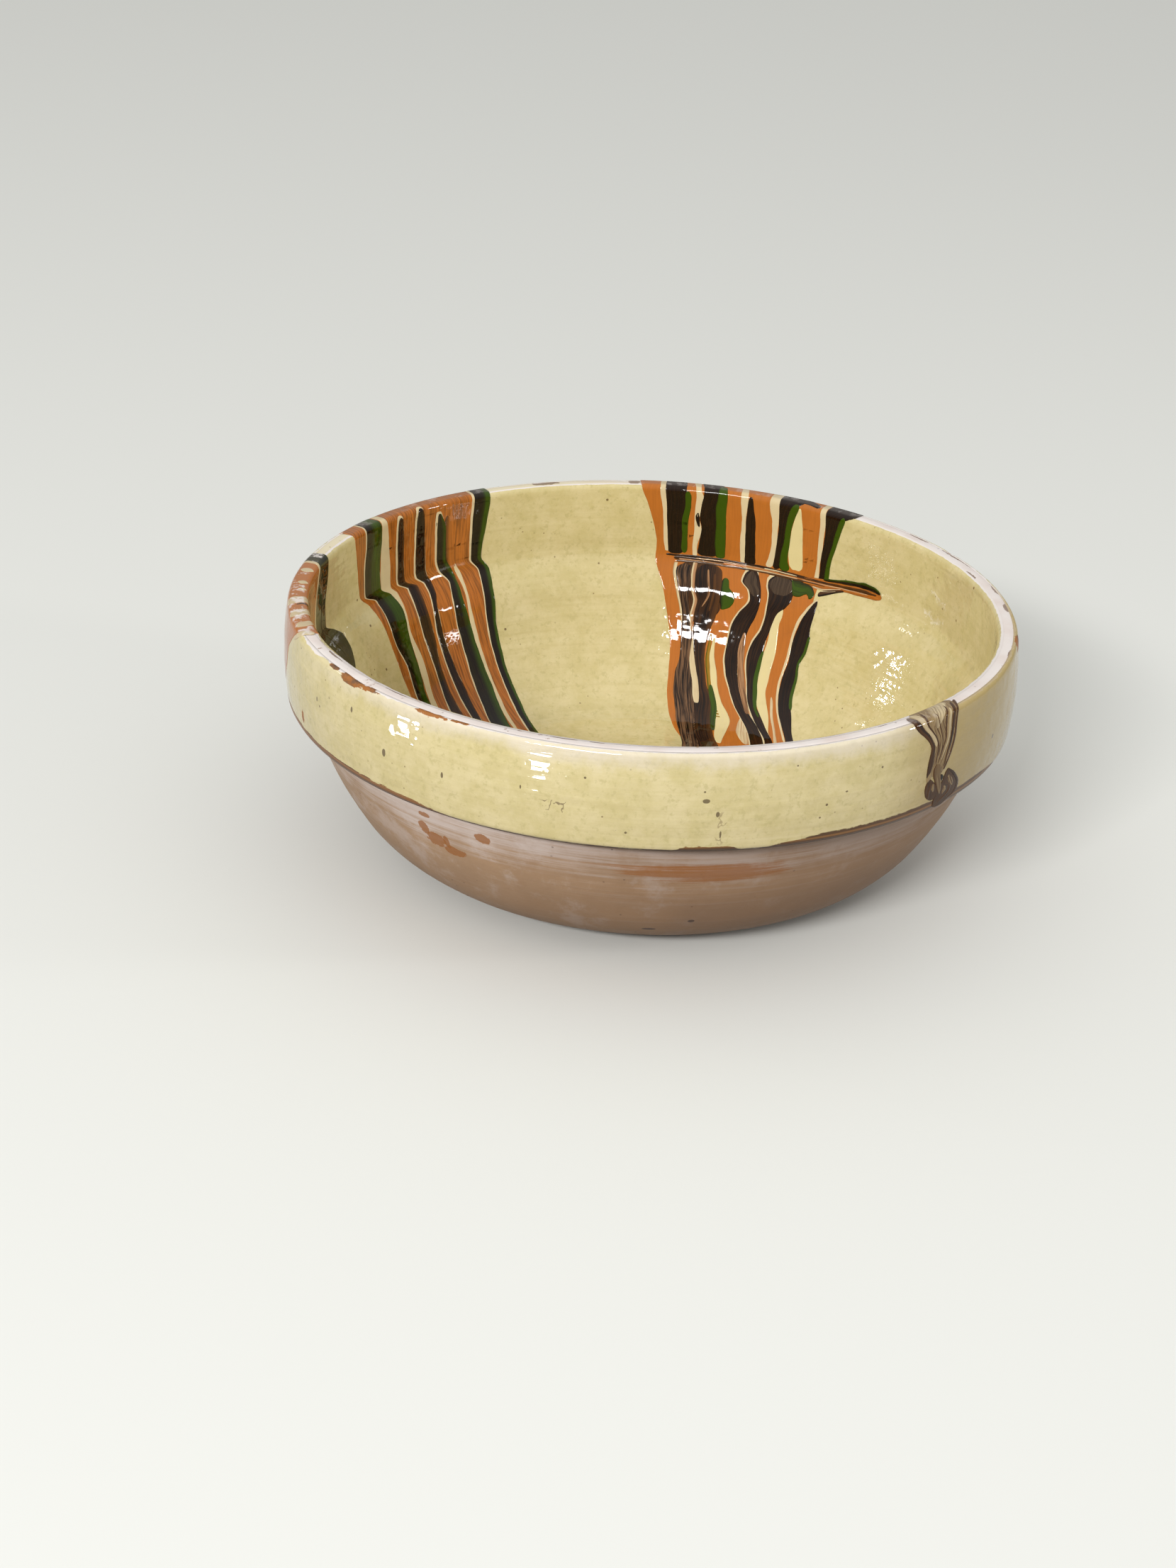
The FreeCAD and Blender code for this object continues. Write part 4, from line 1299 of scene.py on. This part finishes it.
def fire_clay(skin, colours, turned, brushed):
    """The bare wall's colours: cloudy and palest under the collar, with painted shade that makes it deeper at
    the right and below, and darker blotches towards the bottom.
    """
    clay, bloom = linear(colours.clay), linear(colours.bloom)
    cloud = skin.noise(16, 5, 0.6)
    blotch = skin.noise(48, 5, 0.7)
    skin.tint = skin.mix(cloud.rise(0.3, 0.7), scaled(clay, 0.86, 0.86, 0.86), scaled(clay, 1.08, 1.08, 1.08))
    skin.coat(turned.rise(0.5, 0.75) * 0.22, bloom)
    skin.coat((skin.run + (cloud - 0.5) * 50 + (brushed - 0.5) * 60).rise(-94, -64) * 0.95, bloom)
    skin.coat(skin.noise(30, 6, 0.7).rise(0.52, 0.66) * 0.45, bloom)
    skin.coat(blotch.rise(0.5, 0.68) * 0.3, scaled(clay, 0.8, 0.72, 0.62))
    skin.coat(blotch.rise(0.45, 0.3) * 0.3, bloom)
    # Painted shade: the clay is darkened toward the right and toward the bottom.
    painted_shade = skin.toward(322).rise(0.02, 0.15) * 0.5 + skin.run.rise(-92, -126) * 0.34
    skin.coat(painted_shade, scaled(clay, 0.52, 0.46, 0.41))
    # Darker blotches towards the bottom.
    bottom_blotches = skin.noise(9, 3, 0.6).rise(0.5, 0.7) * skin.run.rise(-96, -120)
    skin.coat(bottom_blotches * 0.4, linear((0.50, 0.40, 0.33)))


def stain_clay(skin, colours, brushed):
    """Iron stains on the bare wall, and the brown below the collar's edge: seeped down from it, and at the
    right also a painted shade under the collar.
    """
    ragged, strands = skin.ragged, brushed - 0.5
    rust, brown = linear(colours.rust), linear(colours.edge_brown)
    streak = skin.patch(282, -83, 42, 7, ragged * 0.4 + strands * 2.6, 0.3)
    skin.coat(streak * 0.78, linear((0.60, 0.38, 0.18)))
    skin.coat(skin.patch(274, -80, 34, 2.6, ragged * 0.5 + strands * 3.4, 0.2) * 0.5, rust)
    skin.coat((skin.run + ragged * 0.8).rise(-57.5, -55.5), brown)
    # Brown seeped below the collar's edge at the right, which also serves as painted shade under the collar.
    skin.coat(skin.near(300, 110) * (skin.run + strands * 14).rise(-68, -61) * 0.5, brown)
    skin.tint = skin.patched(skin.tint, CLAY_SPLASHES, ragged * 1.9, 0.85, rust)
    skin.tint = skin.patched(skin.tint, CLAY_SPECKS, ragged * 0.8, 0.9, linear((0.26, 0.18, 0.14)))


def whiten_crest(skin, colours):
    """The crest's worn white slip, glazed at the back and chipped to the clay."""
    crest, bloom = linear(colours.crest), linear(colours.bloom)
    white = skin.mix(skin.noise(55, 3).rise(0.35, 0.7), crest, bloom)
    white = skin.mix(skin.near(140, 150) * 0.6, white, linear(colours.collar))
    white = skin.patched(white, CREST_CHIPS, skin.ragged * 2.0, 0.8, linear((0.46, 0.34, 0.24)))
    chip = skin.noise(75, 4, 0.6).rise(0.67, 0.7)
    chip = chip.maths("MAXIMUM", skin.near(218, 70) * skin.ragged.rise(0.2, 0.35))
    white = skin.mix(chip * 0.75, white, linear((0.52, 0.34, 0.20)))
    skin.coat((skin.run + skin.ragged * 1.5).rise(-11, -9), white)


def earthenware(colours):
    """Bare fired clay: pinkish, with a pale bloom under the collar, iron stains and fine turning lines."""
    skin = Skin("bare_earthenware", 120)
    turned = skin.turned(9, 0.45, 4, 0.6)
    brushed = skin.turned(16, 0.5, 5, 0.7)
    grain = skin.noise(700, 2)
    fire_clay(skin, colours, turned, brushed)
    stain_clay(skin, colours, brushed)
    whiten_crest(skin, colours)
    skin.coat(skin.specks(160, 0.12, 0.05, skin.noise(50).rise(0.5, 0.6)) * 0.6, linear((0.32, 0.22, 0.16)))
    bump = skin.bump(grain * 0.12 + turned * 0.6 + skin.noise(180, 3) * 0.4, 0.25)
    skin.shade(Base_Color=skin.tint, Roughness=CLAY_ROUGHNESS - grain * 0.1, Normal=bump)
    return skin.material


# ---------------------------------------------------------------- operators


class BowlOperator:
    """What every maker of a piece of this bowl shares."""

    bl_options = {"REGISTER", "UNDO"}

    def settings(self, context):
        return context.scene.punch_bowl_sizes, context.scene.punch_bowl_colours


class PUNCHBOWL_OT_clay(BowlOperator, bpy.types.Operator):
    """Throw the clay body"""

    bl_idname = "punch_bowl.clay_body"
    bl_label = "Clay body"

    def execute(self, context):
        sizes, colours = self.settings(context)
        WALL["section"] = bowl_section(sizes)
        runs = WALL["section"].runs
        line = [(run, 0) for run in spread(runs[0], runs[-1], 2.0)]
        shell = spin_shell(line, [], False)
        finish_piece(shell, "thrown_clay_body", "clay_body", earthenware(colours))
        return {"FINISHED"}


class PUNCHBOWL_OT_glazes(BowlOperator, bpy.types.Operator):
    """Brush the straw glaze on the inside and round the collar"""

    bl_idname = "punch_bowl.straw_glazes"
    bl_label = "Straw glazes"

    def execute(self, context):
        sizes, colours = self.settings(context)
        last = WALL["section"].runs[-1]
        inside = (INSIDE_START, last + 2, "inside_straw_glaze", "inside_glaze", colours.inside, False)
        collar = (*COLLAR_RUNS, "collar_straw_glaze", "collar_glaze", colours.collar, True)
        for start, end, name, node, shade, is_collar in (inside, collar):
            stop = min(end, last)
            thickness = sizes.glaze / MM
            top = [(run, coat_lift(run, start, end, thickness)) for run in spread(start, stop, 1.6)]
            bottom = [(run, -UNDERLAP) for run in spread(start, stop, 6)]
            shell = spin_shell(top, bottom, stop == end)
            finish_piece(shell, name, node, straw_glaze(name, shade, colours, is_collar))
        return {"FINISHED"}


class PUNCHBOWL_OT_pours(BowlOperator, bpy.types.Operator):
    """Pour the marbled slips over the crest"""

    bl_idname = "punch_bowl.slip_pours"
    bl_label = "Slip pours"

    def execute(self, context):
        _, colours = self.settings(context)
        inside = slip_finish("marbled_slip", SLIP_INDEX, colours)
        outside = slip_finish("marbled_slip_outside", DRIP_INDEX, colours)
        back = back_upper_trails() + back_lower_trails() + ledge_smear_trails()
        pours = (
            ("back_left_marbled_pour", "back_left_slip_pour", back_left_trails(), inside),
            ("back_marbled_pour", "back_slip_pour", back, inside),
            ("left_marbled_pour", "left_slip_pour", left_trails(), inside),
            ("right_brown_drip", "right_slip_drip", drip_trails(), outside),
        )
        for name, node, trails, finish in pours:
            finish_piece(slip_mesh(trails, colours), name, node, finish)
        return {"FINISHED"}


CAMERA_PLACE = (0, -1.22424, 0.61676)  # metres
CAMERA_YAW = 1.3068  # degrees
CAMERA_PITCH = 25.7562  # degrees below level
CAMERA_ROLL = 2.6829  # degrees
CAMERA_LENS = 60.94  # mm


def add_camera():
    """The camera, looking down into the bowl."""
    camera = bpy.data.cameras.new("camera")
    camera.lens = CAMERA_LENS
    camera.sensor_width = 36
    camera.clip_start = 0.01
    holder = bpy.data.objects.new("camera", camera)
    turn = Matrix.Rotation(math.radians(CAMERA_YAW), 4, "Z")
    tilt = Matrix.Rotation(math.radians(90 - CAMERA_PITCH), 4, "X")
    roll = Matrix.Rotation(math.radians(CAMERA_ROLL), 4, "Z")
    holder.matrix_world = Matrix.Translation(CAMERA_PLACE) @ turn @ tilt @ roll
    bpy.context.scene.collection.objects.link(holder)
    bpy.context.scene.camera = holder


def add_lamp(name, target, azimuth, elevation, distance, width, height, radiance, spread=180):
    """A rectangular lamp facing target, out along an azimuth and an elevation from it. radiance is how bright
    it looks. One with a narrow spread only shows in the gloss."""
    lamp = bpy.data.lights.new(name, "AREA")
    lamp.shape = "RECTANGLE"
    lamp.size = width
    lamp.size_y = height
    lamp.energy = radiance * math.pi * width * height
    lamp.spread = math.radians(spread)
    holder = bpy.data.objects.new(name, lamp)
    a, e = math.radians(azimuth), math.radians(elevation)
    out = Vector((math.cos(e) * math.cos(a), math.cos(e) * math.sin(a), math.sin(e)))
    holder.location = Vector(target) + out * distance
    holder.rotation_euler = out.to_track_quat("Z", "Y").to_euler()
    holder.visible_camera = False
    holder.visible_diffuse = spread == 180
    bpy.context.scene.collection.objects.link(holder)


def add_lamps():
    """A window in front, smaller ones at the left and right, and small cards that only show in the gloss."""
    add_lamp("front_window", (0.03, 0.15, 0.054), 249, 28, 4.0, 1.5, 0.42, 58)
    add_lamp("left_window", (0.127, 0.085, 0.058), 164, 26, 3.0, 0.14, 0.1, 14)
    add_lamp("right_window", (-0.112, 0.113, 0.068), 352, 12, 2.0, 0.2, 0.26, 34)
    add_lamp("left_card", (-0.108, -0.144, 0.122), 194, -17, 0.3, 0.04, 0.03, 4.2, 60)
    add_lamp("front_card", (-0.047, -0.174, 0.122), 239, -16, 0.3, 0.03, 0.026, 4.2, 60)
    add_lamp("right_glint", (0.129, 0.09, 0.065), 169, 7, 0.13, 0.003, 0.006, 3.4, 22)


def pale_for_camera(finish, seen, other):
    """One colour for what looks at it, also in gloss and through glass, and another for bounced light."""
    rays = {output.socket.name: output for output in finish.node("ShaderNodeLightPath", {}, {})}
    looks = rays["Is Camera Ray"] + rays["Is Glossy Ray"] + rays["Is Transmission Ray"]
    return finish.mix(looks.maths("MINIMUM", 1.0), other, seen)


def add_floor():
    """A pale round floor."""
    material = new_material("pale_floor")
    finish = Finish(material.node_tree)
    tint = pale_for_camera(finish, linear((0.88, 0.88, 0.86)), linear((0.42, 0.36, 0.30)))
    finish.shade(Base_Color=tint, Roughness=0.8, Specular_IOR_Level=0.2)
    bm = bmesh.new()
    bmesh.ops.create_circle(bm, cap_ends=True, segments=96, radius=6)
    mesh = bpy.data.meshes.new("floor")
    bm.to_mesh(mesh)
    bm.free()
    mesh.materials.append(material)
    floor = bpy.data.objects.new("floor", mesh)
    bpy.context.scene.collection.objects.link(floor)


def add_sky():
    """Soft light from all round, brighter from above."""
    world = bpy.data.worlds.new("soft_light")
    world.use_nodes = True
    sky = Finish(world.node_tree)
    above = sky.parts(sky.node("ShaderNodeTexCoord", {}, {})[0])[2].rise(0.0, 0.9)
    shade = sky.mix(above, (0.34, 0.33, 0.31), (0.78, 0.79, 0.79))
    sky.put(shade, world.node_tree.nodes["Background"].inputs["Color"])
    bpy.context.scene.world = world


class PUNCHBOWL_OT_stage(BowlOperator, bpy.types.Operator):
    """Lay the floor and set the lamps and the camera"""

    bl_idname = "punch_bowl.stage"
    bl_label = "Stage"

    def execute(self, context):
        add_floor()
        add_sky()
        context.scene.view_settings.view_transform = "Standard"
        add_lamps()
        add_camera()
        return {"FINISHED"}


class PUNCHBOWL_PT_panel(bpy.types.Panel):
    """Lists the bowl's makers, sizes and colours"""

    bl_idname = "PUNCHBOWL_PT_panel"
    bl_label = "Punch bowl"
    bl_space_type = "VIEW_3D"
    bl_region_type = "UI"
    bl_category = "Punch bowl"

    def draw(self, context):
        for maker in MAKERS:
            self.layout.operator(maker.bl_idname)
        for group in (context.scene.punch_bowl_sizes, context.scene.punch_bowl_colours):
            for name in group.__annotations__:
                self.layout.prop(group, name)


MAKERS = (PUNCHBOWL_OT_clay, PUNCHBOWL_OT_glazes, PUNCHBOWL_OT_pours, PUNCHBOWL_OT_stage)
CLASSES = (BowlSizes, SlipColours, *MAKERS, PUNCHBOWL_PT_panel)


def register():
    for cls in CLASSES:
        bpy.utils.register_class(cls)
    bpy.types.Scene.punch_bowl_sizes = bpy.props.PointerProperty(type=BowlSizes)
    bpy.types.Scene.punch_bowl_colours = bpy.props.PointerProperty(type=SlipColours)


def unregister():
    del bpy.types.Scene.punch_bowl_colours
    del bpy.types.Scene.punch_bowl_sizes
    for cls in reversed(CLASSES):
        bpy.utils.unregister_class(cls)


def main():
    """Builds the bowl and its stage."""
    register()
    bpy.ops.punch_bowl.clay_body()
    bpy.ops.punch_bowl.straw_glazes()
    bpy.ops.punch_bowl.slip_pours()
    bpy.ops.punch_bowl.stage()


if __name__ == "__main__":
    main()
